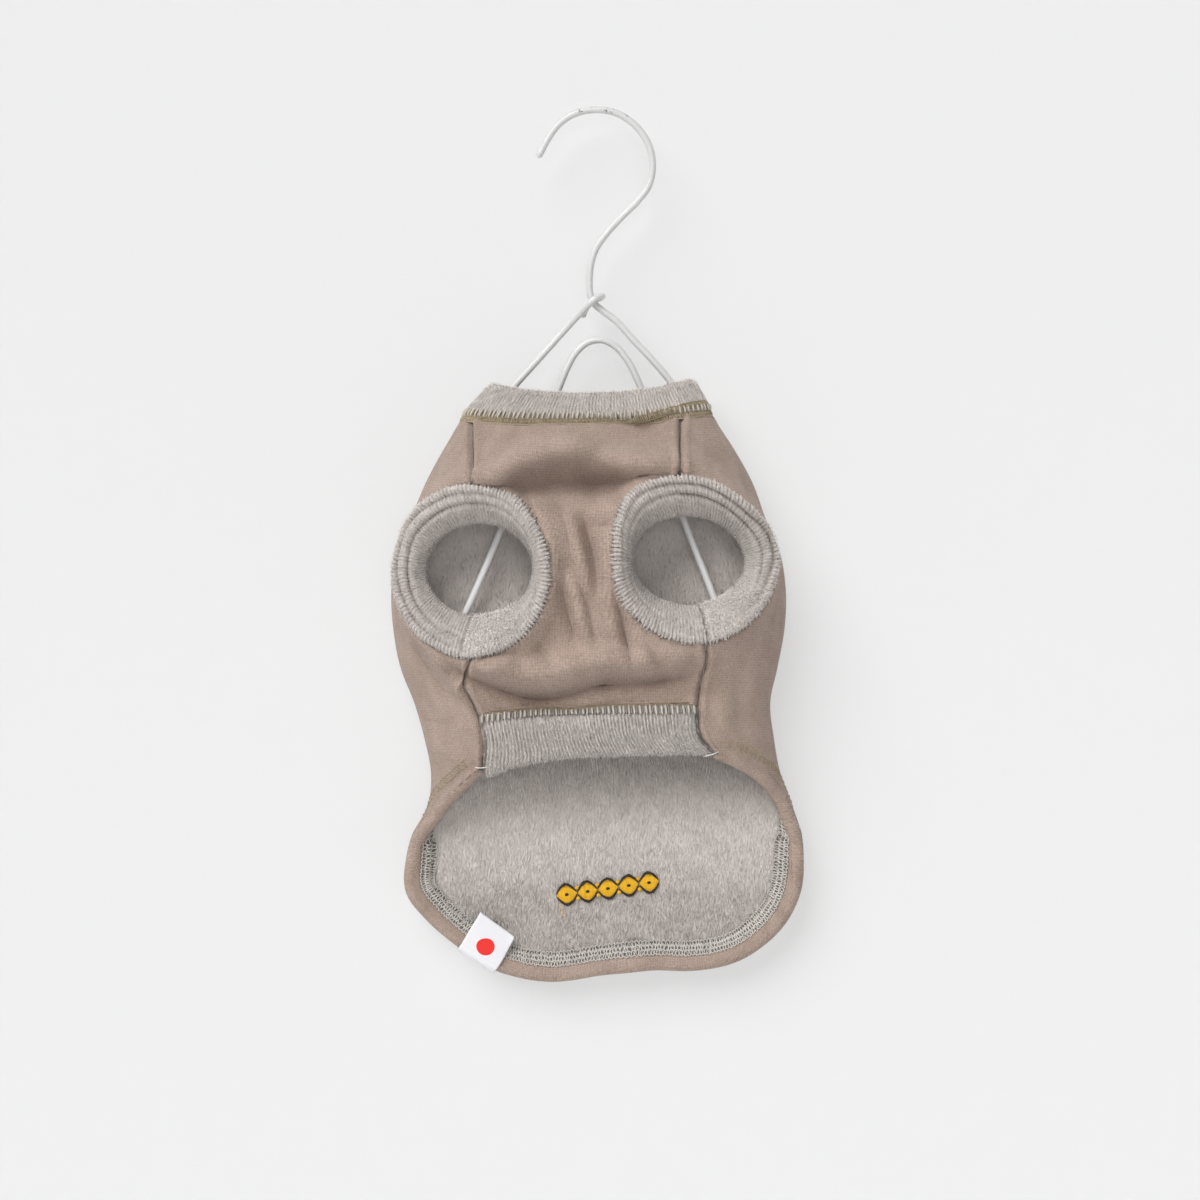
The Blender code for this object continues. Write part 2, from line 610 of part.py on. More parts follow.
def build_label(look):
    """A strip folded round the hem: leaf outside, fold, and the leaf that shows inside."""
    hem = hem_line(401)
    at = int(LABEL_AT * 400)
    turn, height = hem[:, 0], hem[:, 1]
    face, out = hem_frame(turn, height)
    tangent = unit(surface(*hem[at + 1]) - surface(*hem[at - 1]))
    across = np.linspace(-LABEL_WIDTH / 2, LABEL_WIDTH / 2, LABEL_ACROSS)
    start = np.full(LABEL_ACROSS, turn[at]), np.full(LABEL_ACROSS, height[at])
    start = walk(*start, np.tile(tangent, (LABEL_ACROSS, 1)), across)
    aim = np.tile(out[at], (LABEL_ACROSS, 1))
    clear = WALL / 2 + LABEL_GAP + LABEL_WALL / 2
    middle, normal = [], []

    def leaf(distance, offset, side):
        leaf_turn, leaf_height = walk(*start, -aim, np.full(LABEL_ACROSS, distance))
        leaf_face = outward(leaf_turn, leaf_height)
        middle.append(surface(leaf_turn, leaf_height) + offset * leaf_face)
        normal.append(side * leaf_face)

    for distance in (LABEL_OUTSIDE, LABEL_OUTSIDE / 2):
        leaf(distance, clear, 1)
    place, place_face = surface(*start), outward(*start)
    for step in range(LABEL_FOLD_STEPS + 1):
        angle = math.pi * step / LABEL_FOLD_STEPS
        turned = math.sin(angle) * aim + math.cos(angle) * place_face
        middle.append(place - HEM_BEND * place_face + (HEM_BEND + clear) * turned)
        normal.append(turned)
    for distance in (LABEL_INSIDE / 2, LABEL_INSIDE):
        leaf(distance, -(2 * HEM_BEND + clear), -1)
    wall("hem_label", np.stack(middle, axis=1), np.stack(normal, axis=1), LABEL_WALL, **look)


def inside_edge(heights, side):
    """(x, z) of a wire that runs just inside the cloth's side edge at the given heights."""
    heights = np.array(heights, float)
    centre, half, _, _ = level(heights)
    x = centre + side * half
    above, below = level(heights + 1), level(heights - 1)
    slope = ((above[0] + side * above[1]) - (below[0] + side * below[1])) / 2
    clear = WALL / 2 + WIRE / 2 + WIRE_GAP
    inward = np.stack([np.full_like(x, -side), side * slope], axis=1)
    return np.stack([x, heights], axis=1) + clear * unit(inward)


def wire(name, route, pitch, look):
    """A round wire through (x, y, z) route points, its rings a pitch apart, with closed ends."""
    route = np.asarray(route, float)
    length = np.linalg.norm(np.diff(route, axis=0), axis=1).sum()
    points = along_length(route, max(3, int(length / pitch))) * MM
    curve = bpy.data.curves.new(name, "CURVE")
    curve.dimensions = "3D"
    curve.bevel_depth = WIRE / 2 * MM
    curve.bevel_resolution = WIRE_SIDES
    curve.use_fill_caps = True
    spline = curve.splines.new("POLY")
    spline.points.add(len(points) - 1)
    spline.points.foreach_set("co", np.hstack([points, np.ones((len(points), 1))]).ravel())
    spline.use_smooth = True
    made = bpy.data.objects.new(name, curve)
    bpy.context.scene.collection.objects.link(made)
    curve.materials.append(finish(name, **look))


def flat_route(points):
    """Route points given as (x, z), laid in the hanger's plane."""
    return [(x, 0.0, z) for x, z in points]


def build_hanger(look):
    """One bent wire in five lengths, which meet end to end inside the cloth."""
    wire("hanger_hook", flat_route(HOOK), WIRE_PITCH, look)
    wire("hanger_left_arm", WRAP, WRAP_PITCH, look)
    wire("hanger_arch", flat_route(ARCH), WIRE_PITCH, look)
    sides = ("hanger_left_loop", -1, LEFT_LEG), ("hanger_right_loop", 1, RIGHT_LEG)
    for start, (name, side, leg) in zip(SHOULDER_STARTS, sides):
        route = [start, *map(tuple, inside_edge(SHOULDER_HEIGHTS, side)), *leg]
        wire(name, flat_route(route), LOOP_PITCH, look)


def main():
    for old in list(bpy.data.objects):
        bpy.data.objects.remove(old)
    knit = {"colour": (0.36, 0.28, 0.23), "roughness": 0.95}
    fleece = {"colour": (0.47, 0.42, 0.39), "roughness": 1.0}
    build_chest(knit)
    build_back(knit)
    build_neckband(fleece)
    build_belly_band(fleece)
    build_cuff("cuff_left", LEFT_RING, fleece)
    build_cuff("cuff_right", RIGHT_RING, fleece)
    build_label({"colour": (0.84, 0.84, 0.85), "roughness": 0.7})
    build_hanger({"colour": (0.76, 0.76, 0.75), "roughness": 0.35, "metallic": 0.1})


if __name__ == "__main__":
    main()
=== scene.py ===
"""Looks of a small dog's sweat vest that hangs on a bent wire hanger.

Sizes are in millimetres and become metres when a mesh is made. +Z is up and the belly side, with
the two leg holes, faces -Y. The cloth's middle is one surface over a turn angle (0 at the centre
back, a half turn at the centre front) and a height; every cloth piece is a shell laid on it.
"""

from __future__ import annotations

import json
import logging
import math
from dataclasses import dataclass, field, replace
from enum import Enum
from functools import lru_cache
from typing import Callable, NamedTuple, Sequence

import bpy
import numpy as np
from bpy.types import Material, Node, NodeSocket, NodeTree, Object
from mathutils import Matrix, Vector

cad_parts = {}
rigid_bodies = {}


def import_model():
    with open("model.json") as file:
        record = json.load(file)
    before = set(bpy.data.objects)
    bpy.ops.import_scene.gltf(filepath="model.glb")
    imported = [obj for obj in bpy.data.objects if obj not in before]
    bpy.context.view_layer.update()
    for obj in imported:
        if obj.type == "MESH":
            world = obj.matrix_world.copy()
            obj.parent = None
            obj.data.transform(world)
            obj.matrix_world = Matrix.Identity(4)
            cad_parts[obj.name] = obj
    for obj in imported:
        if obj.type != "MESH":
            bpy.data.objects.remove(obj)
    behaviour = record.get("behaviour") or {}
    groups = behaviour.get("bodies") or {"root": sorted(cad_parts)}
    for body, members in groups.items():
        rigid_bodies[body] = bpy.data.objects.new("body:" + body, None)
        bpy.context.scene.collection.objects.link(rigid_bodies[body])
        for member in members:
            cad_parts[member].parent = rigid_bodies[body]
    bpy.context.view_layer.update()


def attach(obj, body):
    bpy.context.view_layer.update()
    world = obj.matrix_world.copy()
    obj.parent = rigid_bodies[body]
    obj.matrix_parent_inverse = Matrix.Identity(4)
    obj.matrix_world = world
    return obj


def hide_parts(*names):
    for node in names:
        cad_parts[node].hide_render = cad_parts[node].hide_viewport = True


log = logging.getLogger("vest")

Array = np.ndarray
Arrays = tuple[Array, Array]
Number = Array | float
Pair = tuple[float, float]
Colour = tuple[float, float, float, float]
Dice = np.random.Generator
Lay = Callable[[Array, Array, Array], Array]
Skins = list[tuple[Array, int]]

MM = 0.001
TURN_CM = 8.5  # centimetres of cloth for one radian of turn
WIDEST = 0.9995  # share of a level's half width past which a point counts as its edge
BODY = "root"


class Section(NamedTuple):
    """One level of the cloth: its side edges, and its depth before and behind the hanger."""

    height: float
    left: float
    right: float
    front: float
    back: float


class Ring(NamedTuple):
    """A leg hole: the ellipse of its raised rim, and that of its sunk inner edge."""

    rim_x: float
    rim_z: float
    rim_half_x: float
    rim_half_z: float
    hole_x: float
    hole_z: float
    hole_half_x: float
    hole_half_z: float
    outward: int
    lean: float
    seam_shift: float = 0.0


class Fold(NamedTuple):
    """A soft ridge, or a trough where height is negative, from start by middle to end."""

    start: Pair
    middle: Pair
    end: Pair
    height: float
    width: float


class Side(NamedTuple):
    """A side seam of the chest panel: (x, z) rows above and below its leg hole, and the height of
    the belly band's seam there."""

    ring: Ring
    above: tuple[Pair, ...]
    below: tuple[Pair, ...]
    belly: float


class Rows(NamedTuple):
    """Counts of mesh rows down a panel's side: seam, leg hole, seam, and beside the belly band."""

    above: int
    arc: int
    below: int
    band: int


SECTIONS = tuple(Section(*row) for row in (
    (-108, -38.0, 33.0, 8.5, 5.0),
    (-121, -46.0, 40.2, 12.0, 7.0),
    (-136, -58.8, 48.5, 18.5, 8.5),
    (-151, -68.6, 58.6, 23.5, 9.0),
    (-167, -77.2, 67.4, 27.0, 9.0),
    (-183, -83.8, 73.2, 31.0, 8.5),
    (-199, -90.6, 79.8, 33.5, 8.5),
    (-215, -92.5, 82.2, 34.0, 8.5),
    (-232, -91.6, 81.6, 34.0, 8.5),
    (-249, -88.4, 78.5, 33.0, 8.5),
    (-265, -82.2, 75.2, 31.0, 8.5),
    (-281, -77.6, 76.8, 29.0, 8.5),
    (-298, -74.6, 80.0, 25.0, 8.5),
    (-313, -76.5, 85.6, 20.0, 8.0),
    (-326, -83.6, 89.6, 15.0, 7.5),
    (-340, -86.6, 90.4, 12.0, 7.0),
    (-400, -88.0, 91.0, 8.0, 6.0),
))
LEFT_RING = Ring(-54.6, -206.4, 33.4, 37.0, -54.6, -205.3, 24.2, 18.9, -1, 0.0)
RIGHT_RING = Ring(40.0, -201.2, 35.0, 36.0, 41.0, -201.7, 25.1, 18.3, 1, -6.2, 0.13)
RING_AT = (-0.95, -0.6, -0.3, -0.1, 0.12, 0.4, 0.7, 1.0, 1.4)
RING_RISE = (0.0, 1.2, 4.2, 5.4, 4.2, 0.9, -3.4, -7.8, -12.0)

FRONT_FOLDS = tuple(Fold(*row) for row in (
    # crescent under the neck: crest, then the recess below it
    ((-66, -175), (-37, -158.5), (-2, -148.5), 11.6, 5.2),
    ((-26, -147), (5, -157), (43, -159.5), 9.6, 5.0),
    ((-3, -137.5), (16, -142.5), (34, -143), -2.2, 3.6),
    ((-50, -181), (-22, -168.5), (10, -168), -10.2, 6.6),
    ((-14, -168), (12, -169), (36, -168), -8.0, 6.4),
    # the long creases between the leg holes
    ((-31, -170), (-21, -183), (-14, -202), 4.6, 4.4),
    ((-14.5, -180), (-9.5, -196), (-5, -217), 4.2, 2.8),
    ((-8, -181), (-3.5, -197), (1, -217), -5.0, 3.2),
    ((-13, -207), (-9.5, -222), (-4.5, -241), 4.0, 2.5),
    ((-18, -209), (-14.5, -224), (-10, -240), -3.6, 2.8),
    ((0, -196), (3, -217), (9.5, -246), 3.4, 3.0),
    ((4.5, -207), (8.5, -226), (15, -248), -5.4, 2.8),
    ((13, -231), (17, -242), (24, -253), 3.4, 3.2),
    # slack pouch over the belly band, and the recess below it
    ((-66, -238), (-33, -251), (4, -244), 8.6, 5.8),
    ((-8, -246), (20, -245), (41, -243), 6.2, 5.6),
    ((-64, -248), (-31, -262), (6, -255), -9.6, 4.4),
    ((-8, -256.5), (20, -255), (45, -251), -7.6, 4.2),
    ((-62, -264), (-24, -268), (20, -263), -4.4, 5.0),
    ((-6, -264), (26, -262), (54, -258), -4.0, 5.0),
    # hollow of the lower left side
    ((-82, -236), (-77, -256), (-70, -272), -4.8, 7.0),
    # finer creases
    ((-3, -187.5), (4, -186), (14, -184), -2.4, 2.4),
    ((-4, -181), (4, -179), (14, -177), 1.8, 2.8),
    ((-2, -226), (2, -240), (4, -248), 1.2, 3.2),
    ((-29, -238), (-24, -245), (-17, -250), -2.4, 2.8),
    ((-38, -236), (-36, -246), (-31, -254), -2.0, 3.0),
    ((-2, -246), (2, -254), (2, -261), -1.0, 2.6),
    ((22, -238), (26, -246), (28, -256), -1.8, 3.0),
    ((-52, -148), (-34, -145), (-16, -149), -0.7, 3.6),
    ((8, -143), (20, -146), (33, -150), -1.0, 3.2),
    ((-85, -228), (-76.5, -245), (-64, -263), -5.0, 3.8),
    ((-79, -228), (-70, -245), (-59, -262), 3.8, 3.6),
    ((-82, -271), (-70, -273.5), (-57, -271), -1.1, 2.2),
    ((-79, -283), (-69, -286), (-59, -291), 0.9, 2.6),
    ((46, -238), (53, -245), (58, -236), 1.0, 3.0),
    ((-80, -262), (-70, -276), (-58, -284), -1.8, 3.6),
    ((-70, -150), (-74, -162), (-80, -176), 1.0, 4.0),
    ((-60, -146), (-62, -160), (-66, -172), -0.9, 3.4),
    ((44, -146), (52, -156), (60, -168), -1.1, 3.6),
    ((52, -146), (60, -158), (68, -172), 1.1, 4.0),
    ((58, -250), (62, -266), (60, -284), -1.3, 4.2),
    ((66, -246), (70, -262), (74, -280), 1.1, 3.8),
    ((52, -262), (56, -274), (62, -288), 1.0, 3.0),
))
BACK_FOLDS = tuple(Fold(*row) for row in (
    # soft waves
    ((-45, -160), (-30, -205), (-38, -262), 1.8, 9.0),
    ((38, -165), (24, -215), (34, -276), 1.8, 9.5),
    ((-8, -232), (2, -262), (-4, -300), -1.4, 10.0),
    ((10, -366), (12, -380), (12, -396), -2.6, 9.0),
    ((-34, -352), (-38, -372), (-40, -394), 2.0, 10.0),
    # finer creases
    ((-60, -150), (-20, -156), (10, -150), -0.9, 6.0),
    ((-70, -210), (-50, -232), (-44, -262), -0.8, 6.0),
    ((60, -190), (50, -220), (56, -250), -0.8, 6.0),
    ((-20, -176), (-4, -200), (-10, -226), 0.8, 6.5),
    ((8, -190), (14, -214), (10, -240), -0.8, 6.0),
    ((-62, -290), (-48, -316), (-46, -340), 0.9, 6.5),
    ((58, -296), (50, -322), (52, -350), 0.8, 7.0),
    ((20, -310), (16, -334), (22, -352), 0.6, 7.5),
    ((-20, -330), (-14, -350), (-20, -368), -0.6, 7.0),
    ((-66, -352), (-60, -362), (-50, -370), -0.7, 4.5),
    ((60, -352), (56, -364), (48, -374), -0.7, 4.5),
))

SIDES = (
    Side(LEFT_RING, ((-56.8, -137.5), (-56.4, -155)),
         ((-60.0, -256), (-55.6, -266), (-51.2, -281), (-52.2, -293.5)), -270.6),
    Side(RIGHT_RING, ((35.6, -134.5), (35.4, -152)),
         ((46.2, -246), (44.4, -255), (43.2, -268), (44.4, -279), (50.4, -286.5)), -266.3),
)
BELLY_EDGE = ((-56, -298.4), (-49, -296.6), (-38, -292.4), (-16, -288.8), (10, -287.6),
              (34, -287.6), (56, -288.0))
HEM = (
    (-133.5, -293.5), (-121.0, -302.5), (-104.0, -314.0), (-91.0, -328.0), (-80.0, -345.5),
    (-62.0, -359.5), (-48.0, -370.8), (-30.5, -384.6), (-15.5, -388.4), (1.5, -385.0),
    (14.0, -383.2), (27.0, -383.4), (40.0, -380.2), (54.0, -371.2), (69.0, -357.4),
    (83.0, -340.5), (93.0, -322.0), (101.0, -307.0), (120.0, -294.5), (138.5, -286.5),
)


def through(keys: Sequence[float] | Array, values: Array, where: Array) -> Array:
    """Cubic pieces through keyed values, each key's slope taken from its two neighbours.

    Args:
        keys: rising numbers.
        values: one value or row of values for each key.
        where: numbers at which the curve is read.

    Returns:
        The curve's values there.
    """
    keys, values = np.asarray(keys, float), np.asarray(values, float)
    slope = np.gradient(values, keys, axis=0)
    where = np.clip(where, keys[0], keys[-1])
    piece = np.clip(np.searchsorted(keys, where) - 1, 0, len(keys) - 2)
    step = keys[piece + 1] - keys[piece]
    t = (where - keys[piece]) / step
    if values.ndim > 1:
        step, t = step[..., None], t[..., None]
    start = (1 + 2 * t) * (1 - t) ** 2 * values[piece] + t * (1 - t) ** 2 * step * slope[piece]
    end = t * t * (3 - 2 * t) * values[piece + 1] + t * t * (t - 1) * step * slope[piece + 1]
    return start + end


def run_lengths(points: Array, axis: int = 0) -> Array:
    """Length along each line of points, counted from its start, down the given axis.

    Args:
        points: the lines.
        axis: the axis that runs along them.

    Returns:
        A length for each point.
    """
    steps = np.linalg.norm(np.diff(points, axis=axis), axis=-1)
    pad = [(0, 0)] * steps.ndim
    pad[axis] = (1, 0)
    return np.pad(np.cumsum(steps, axis=axis), pad)


def along_length(points: Sequence | Array, count: int, dense: int = 400) -> Array:
    """Points spaced evenly along a smooth curve.

    Args:
        points: the rows that the curve passes through.
        count: how many points come out.
        dense: how finely the curve is measured.

    Returns:
        An array of count rows.
    """
    points = np.asarray(points, float)
    chord = run_lengths(points)
    curve = through(chord, points, np.linspace(0, chord[-1], dense))
    length = run_lengths(curve)
    even = np.linspace(0, length[-1], count)
    return np.stack([np.interp(even, length, curve[:, k]) for k in range(points.shape[1])], axis=1)


@lru_cache(maxsize=None)
def fold_route(fold: Fold, samples: int) -> Array:
    """(x, z) points spaced evenly along a fold."""
    return along_length((fold.start, fold.middle, fold.end), samples)


def unit(vectors: Array) -> Array:
    """The vectors at length 1."""
    return vectors / np.maximum(np.linalg.norm(vectors, axis=-1, keepdims=True), 1e-12)


def fade(share: Array) -> Array:
    """Rises smoothly from 0 to 1 as the share does."""
    share = np.clip(share, 0, 1)
    return share * share * (3 - 2 * share)


def bell(distance: Array, width: float) -> Array:
    """1 at no distance, falling to nothing past about two widths."""
    return np.exp(-((distance / width) ** 2))


def wander(where: Array, pitch: float, seed: int) -> Array:
    """A smooth uneven wave between about -1 and 1: five sines round one pitch, in seeded phases.

    Args:
        where: where it is read.
        pitch: about one wave's length.
        seed: which wave.

    Returns:
        The wave there.
    """
    dice = np.random.default_rng(seed)
    shares, phases = dice.uniform(0.55, 1.7, 5), dice.uniform(0, 2 * math.pi, 5)
    waves = np.sin(where[..., None] * (2 * math.pi / pitch) * shares + phases)
    return waves.sum(axis=-1) / 2.6


def patch(left: Array, right: Array, top: Array, bottom: Array, across: Array,
          fading: float = 2.6) -> Array:
    """A grid between four edge curves that meet at their ends.

    Each point lies between the two end curves, by its share of the way down, plus what each side
    curve strays from that, which fades inwards as a power of the share of the way across.

    Args:
        left: points down the left side.
        right: points down the right side.
        top: points across the top.
        bottom: points across the bottom.
        across: each column's share of the way from left to right.
        fading: the power.

    Returns:
        The grid, (columns, rows, values).
    """
    length = run_lengths(left)
    v = (length / length[-1])[None, :, None]
    u = across[:, None, None]
    ends = (1 - v) * top[:, None] + v * bottom[:, None]
    near = (1 - u) ** fading * (left[None] - ends[:1])
    return ends + near + u**fading * (right[None] - ends[-1:])


def crowded(count: int, amount: float) -> Array:
    """Shares from 0 to 1 that lie closer together near both ends, by a sine of the given amount."""
    even = np.linspace(0, 1, count + 1)
    return even - amount * np.sin(2 * math.pi * even) / (2 * math.pi)


@dataclass(frozen=True)
class VestForm:
    """The cloth's middle surface, and the lines on it where pieces meet."""

    wall: float = 3.0
    trim_wall: float = 4.6
    seam_gap: float = 0.5
    side_edge_y: float = 2.0
    back_fullness: float = 0.45
    front_fullness: float = 0.42
    neck_seam: tuple[float, float, float] = (-138.6, 3.2, 1.4)
    neck_top: tuple[float, float, float] = (-126.6, 5.6, 0.9)
    hem_bend: float = 1.8
    hem_turn: float = 8.0
    panel_rim: float = -0.035
    cuff_tilt: float = math.radians(16)
    turn_step: float = 0.008
    height_step: float = 0.4

    def level(self, height: Array) -> tuple[Array, Array, Array, Array]:
        """Centre, half width, front depth and back depth of the cloth at each height.

        Args:
            height: heights.

        Returns:
            The four values for each.
        """
        table = np.array(SECTIONS[::-1], float)
        left, right, front, back = (through(table[:, 0], table[:, k], height) for k in (1, 2, 3, 4))
        return (left + right) / 2, (right - left) / 2, front, back

    def ellipse(self, ring: Ring, at: Array) -> tuple[Array, Array, Array, Array]:
        """Centre x, centre z, half x and half z of the ring's ellipse at a ring position."""
        return (
            ring.rim_x + at * (ring.hole_x - ring.rim_x),
            ring.rim_z + at * (ring.hole_z - ring.rim_z),
            ring.rim_half_x + at * (ring.hole_half_x - ring.rim_half_x),
            ring.rim_half_z + at * (ring.hole_half_z - ring.rim_half_z),
        )

    def lean(self, ring: Ring, at: Array, rise: Array) -> Array:
        """Sideways shift of the ring's upper half, rise being -1 at its bottom and 1 at its top."""
        return ring.lean * (1 - at) * fade(rise)

    def ring_point(self, ring: Ring, at: Array, angle: Array) -> Arrays:
        """The (x, z) of the ring's ellipse at a ring position and angle, seen from the front.

        Args:
            ring: the leg hole.
            at: ring positions, 0 the rim and 1 the hole.
            angle: angles round it.

        Returns:
            The x and the z values.
        """
        cx, cz, half_x, half_z = self.ellipse(ring, at)
        rise = np.sin(angle)
        return cx + half_x * np.cos(angle) + self.lean(ring, at, rise), cz + half_z * rise

    def ring_position(self, ring: Ring, x: Array, z: Array) -> Array:
        """Ring position of a point seen from the front, found by halving: 0 is the rim, 1 the hole.

        Args:
            ring: the leg hole.
            x: across.
            z: heights.

        Returns:
            A ring position for each point.
        """
        low, high = np.full_like(x, -1.5), np.full_like(x, 1.8)
        for _ in range(24):
            at = (low + high) / 2
            cx, cz, half_x, half_z = self.ellipse(ring, at)
            rise = (z - cz) / half_z
            inside = ((x - cx - self.lean(ring, at, rise)) / half_x) ** 2 + rise**2 < 1
            low, high = np.where(inside, at, low), np.where(inside, high, at)
        return (low + high) / 2

    def fold_lift(self, fold: Fold, x: Array, z: Array, samples: int = 18) -> Array:
        """Sum of soft round bumps strung along the fold, fading towards its two ends.

        Args:
            fold: the fold.
            x: across.
            z: heights.
            samples: how many bumps.

        Returns:
            A lift for each point.
        """
        route = fold_route(fold, samples)
        near = (x > route[:, 0].min() - 3 * fold.width) & (x < route[:, 0].max() + 3 * fold.width)
        near &= (z > route[:, 1].min() - 3 * fold.width) & (z < route[:, 1].max() + 3 * fold.width)
        spacing = np.linalg.norm(route[-1] - route[0]) / (samples - 1)
        strength = np.sin(np.pi * (np.arange(samples) + 0.5) / samples) ** 0.7
        apart = (x[near][..., None] - route[:, 0]) ** 2 + (z[near][..., None] - route[:, 1]) ** 2
        bumps = (np.exp(-apart / fold.width**2) * strength).sum(axis=-1)
        lift = np.zeros_like(x)
        lift[near] = fold.height * bumps * spacing / (fold.width * math.sqrt(math.pi))
        return lift

    def surface(self, turn: Array, height: Array) -> Array:
        """The middle of the cloth.

        Across a level, x is the centre plus half the width times the turn's sine, and y the depth
        times its cosine, filled out by the sine squared. Folds add a lift towards the outside, and
        the rings a rise along each cuff's tilted axis.

        Args:
            turn: turn angles, 0 at the centre back.
            height: heights, of a shape that fits turn's.

        Returns:
            Points in millimetres.
        """
        turn, height = np.broadcast_arrays(np.asarray(turn, float), np.asarray(height, float))
        centre, half, front, back = self.level(height)
        across, along = np.sin(turn), np.cos(turn)
        fullness = np.where(along > 0, self.back_fullness, self.front_fullness)
        depth = np.where(along > 0, back, front)
        x = centre + half * across
        y = self.side_edge_y + depth * along * (1 + fullness * across**2)
        ahead, behind = fade((-along - 0.02) / 0.43), fade((along - 0.05) / 0.4)
        lifted = np.stack([x, y, height], axis=-1)
        rings = {ring: self.ring_position(ring, x, height) for ring in (LEFT_RING, RIGHT_RING)}
        beside = [0.12 + 0.88 * fade((-0.06 - at) / 0.3) for at in rings.values()]
        for outward, folds in ((-ahead * beside[0] * beside[1], FRONT_FOLDS), (behind, BACK_FOLDS)):
            for fold in folds:
                lifted[..., 1] += outward * self.fold_lift(fold, x, height)
        for ring, at in rings.items():
            rise = ahead * through(RING_AT, RING_RISE, at)
            lifted[..., 0] += ring.outward * math.sin(self.cuff_tilt) * rise
            lifted[..., 1] -= math.cos(self.cuff_tilt) * rise
        return lifted

    def slopes(self, turn: Array, height: Array) -> Arrays:
        """How the surface moves with the turn angle and with the height."""
        by_turn = self.surface(turn + self.turn_step, height)
        by_turn = by_turn - self.surface(turn - self.turn_step, height)
        by_height = self.surface(turn, height + self.height_step)
        by_height = by_height - self.surface(turn, height - self.height_step)
        return by_turn / (2 * self.turn_step), by_height / (2 * self.height_step)

    def normal(self, turn: Array, height: Array) -> Array:
        """The cloth's normal, away from the dog."""
        by_turn, by_height = self.slopes(turn, height)
        return unit(np.cross(by_height, by_turn))

    def lay(self, turn: Array, height: Array, lift: Number) -> Array:
        """Points at a distance from the middle of the cloth, along its normal."""
        lift = np.broadcast_to(lift, np.broadcast(turn, height).shape)
        return self.surface(turn, height) + lift[..., None] * self.normal(turn, height)

    def front_turn(self, x: Array, height: Array) -> Array:
        """Turn angle of the front point at x."""
        behind = self.back_turn(x, height)
        return np.where(behind < 0, -math.pi, math.pi) - behind

    def back_turn(self, x: Array, height: Array) -> Array:
        """Turn angle of the back point at x."""
        centre, half, _, _ = self.level(height)
        return np.arcsin(np.clip((x - centre) / half, -WIDEST, WIDEST))

    def walk(self, turn: Array, height: Array, direction: Array, distance: Array,
             steps: int = 4) -> Arrays:
        """Moves points over the surface.

        Args:
            turn: where they start.
            height: where they start.
            direction: the way each goes, flattened onto the cloth at each step.
            distance: how far each goes.
            steps: how many straight steps are taken.

        Returns:
            The turn angles and heights they come to.
        """
        turn, height = np.array(turn, float), np.array(height, float)
        for _ in range(steps):
            by_turn, by_height = self.slopes(turn, height)
            normal = unit(np.cross(by_height, by_turn))
            flat = unit(direction - normal * (direction * normal).sum(axis=-1, keepdims=True))
            step = flat * np.asarray(distance)[..., None] / steps
            tt, hh = (by_turn**2).sum(axis=-1), (by_height**2).sum(axis=-1)
            th = (by_turn * by_height).sum(axis=-1)
            st, sh = (step * by_turn).sum(axis=-1), (step * by_height).sum(axis=-1)
            turn = turn + (st * hh - sh * th) / (tt * hh - th**2)
            height = height + (sh * tt - st * th) / (tt * hh - th**2)
        return turn, height

    def neck_line(self, line: tuple[float, float, float], turn: Array) -> Array:
        """Height of the neck's seam or of its top edge at a turn angle."""
        height, rise, tilt = line
        return height + rise * np.sin(turn) ** 2 + tilt * np.sin(turn)

    def neck_run(self) -> Arrays:
        """Turn angles all round the neck seam, and the length run to each."""
        turn = np.linspace(0, 2 * math.pi, 1441)
        return turn, run_lengths(self.surface(turn, self.neck_line(self.neck_seam, turn)))

    def side_edge(self, seam: Side, rows: Rows, medial: bool) -> Array:
        """The (x, z) points down one side of a panel.

        Args:
            seam: the side seam that it follows.
            rows: how many points each stretch has.
            medial: true for the chest panel's side.

        Returns:
            An array of points, top to bottom.
        """
        ring, fine = seam.ring, 200
        side = -ring.outward if medial else ring.outward
        shift = (side * self.seam_gap / 2, 0)
        turned = 0 if side > 0 else math.pi
        last = -math.pi / 2 + side * ring.seam_shift
        angle = turned + side * np.linspace(math.pi / 2, last, rows.arc + 1)
        arc = np.stack(self.ring_point(ring, self.panel_rim, angle), axis=1) + shift
        above = along_length([*seam.above, arc[0] - shift], rows.above + 1) + shift
        below = along_length([arc[-1] - shift, *seam.below], fine + 1) + shift
        crossing = int(np.argmin(abs(below[:, 1] - seam.belly)))
        ends = np.linspace(0, crossing, rows.below + 1), np.linspace(crossing, fine, rows.band + 1)
        parts = [np.stack([np.interp(end[1:], np.arange(fine + 1), below[:, k]) for k in (0, 1)],
                          axis=1) for end in ends]
        return np.concatenate([above[:-1], arc, parts[0]] + ([] if medial else [parts[1]]))

    def side_edges(self, rows: Rows, medial: bool) -> Arrays:
        """Both sides of the chest panel, or of the back where medial is false."""
        left, right = (self.side_edge(seam, rows, medial) for seam in SIDES)
        return left, right

    def chest_grid(self, rows: Rows, across: Array) -> Arrays:
        """Turn angles and heights of the chest panel, left to right and top to bottom.

        Args:
            rows: how many rows each stretch has.
            across: each column's share of the way.

        Returns:
            The turn angles and the heights.
        """
        left, right = self.side_edges(rows, medial=True)
        for edge in (left, right):
            edge[0, 1] = self.neck_line(self.neck_seam, self.front_turn(edge[0, 0], edge[0, 1]))
        x = left[0, 0] + across * (right[0, 0] - left[0, 0])
        turn = self.front_turn(x, np.full_like(x, self.neck_seam[0]))
        top = np.stack([x, self.neck_line(self.neck_seam, turn)], axis=1)
        top[0], top[-1] = left[0], right[0]
        bottom = left[-1] + across[:, None] * (right[-1] - left[-1])
        grid = patch(left, right, top, bottom, across)
        return self.front_turn(grid[..., 0], grid[..., 1]), grid[..., 1]

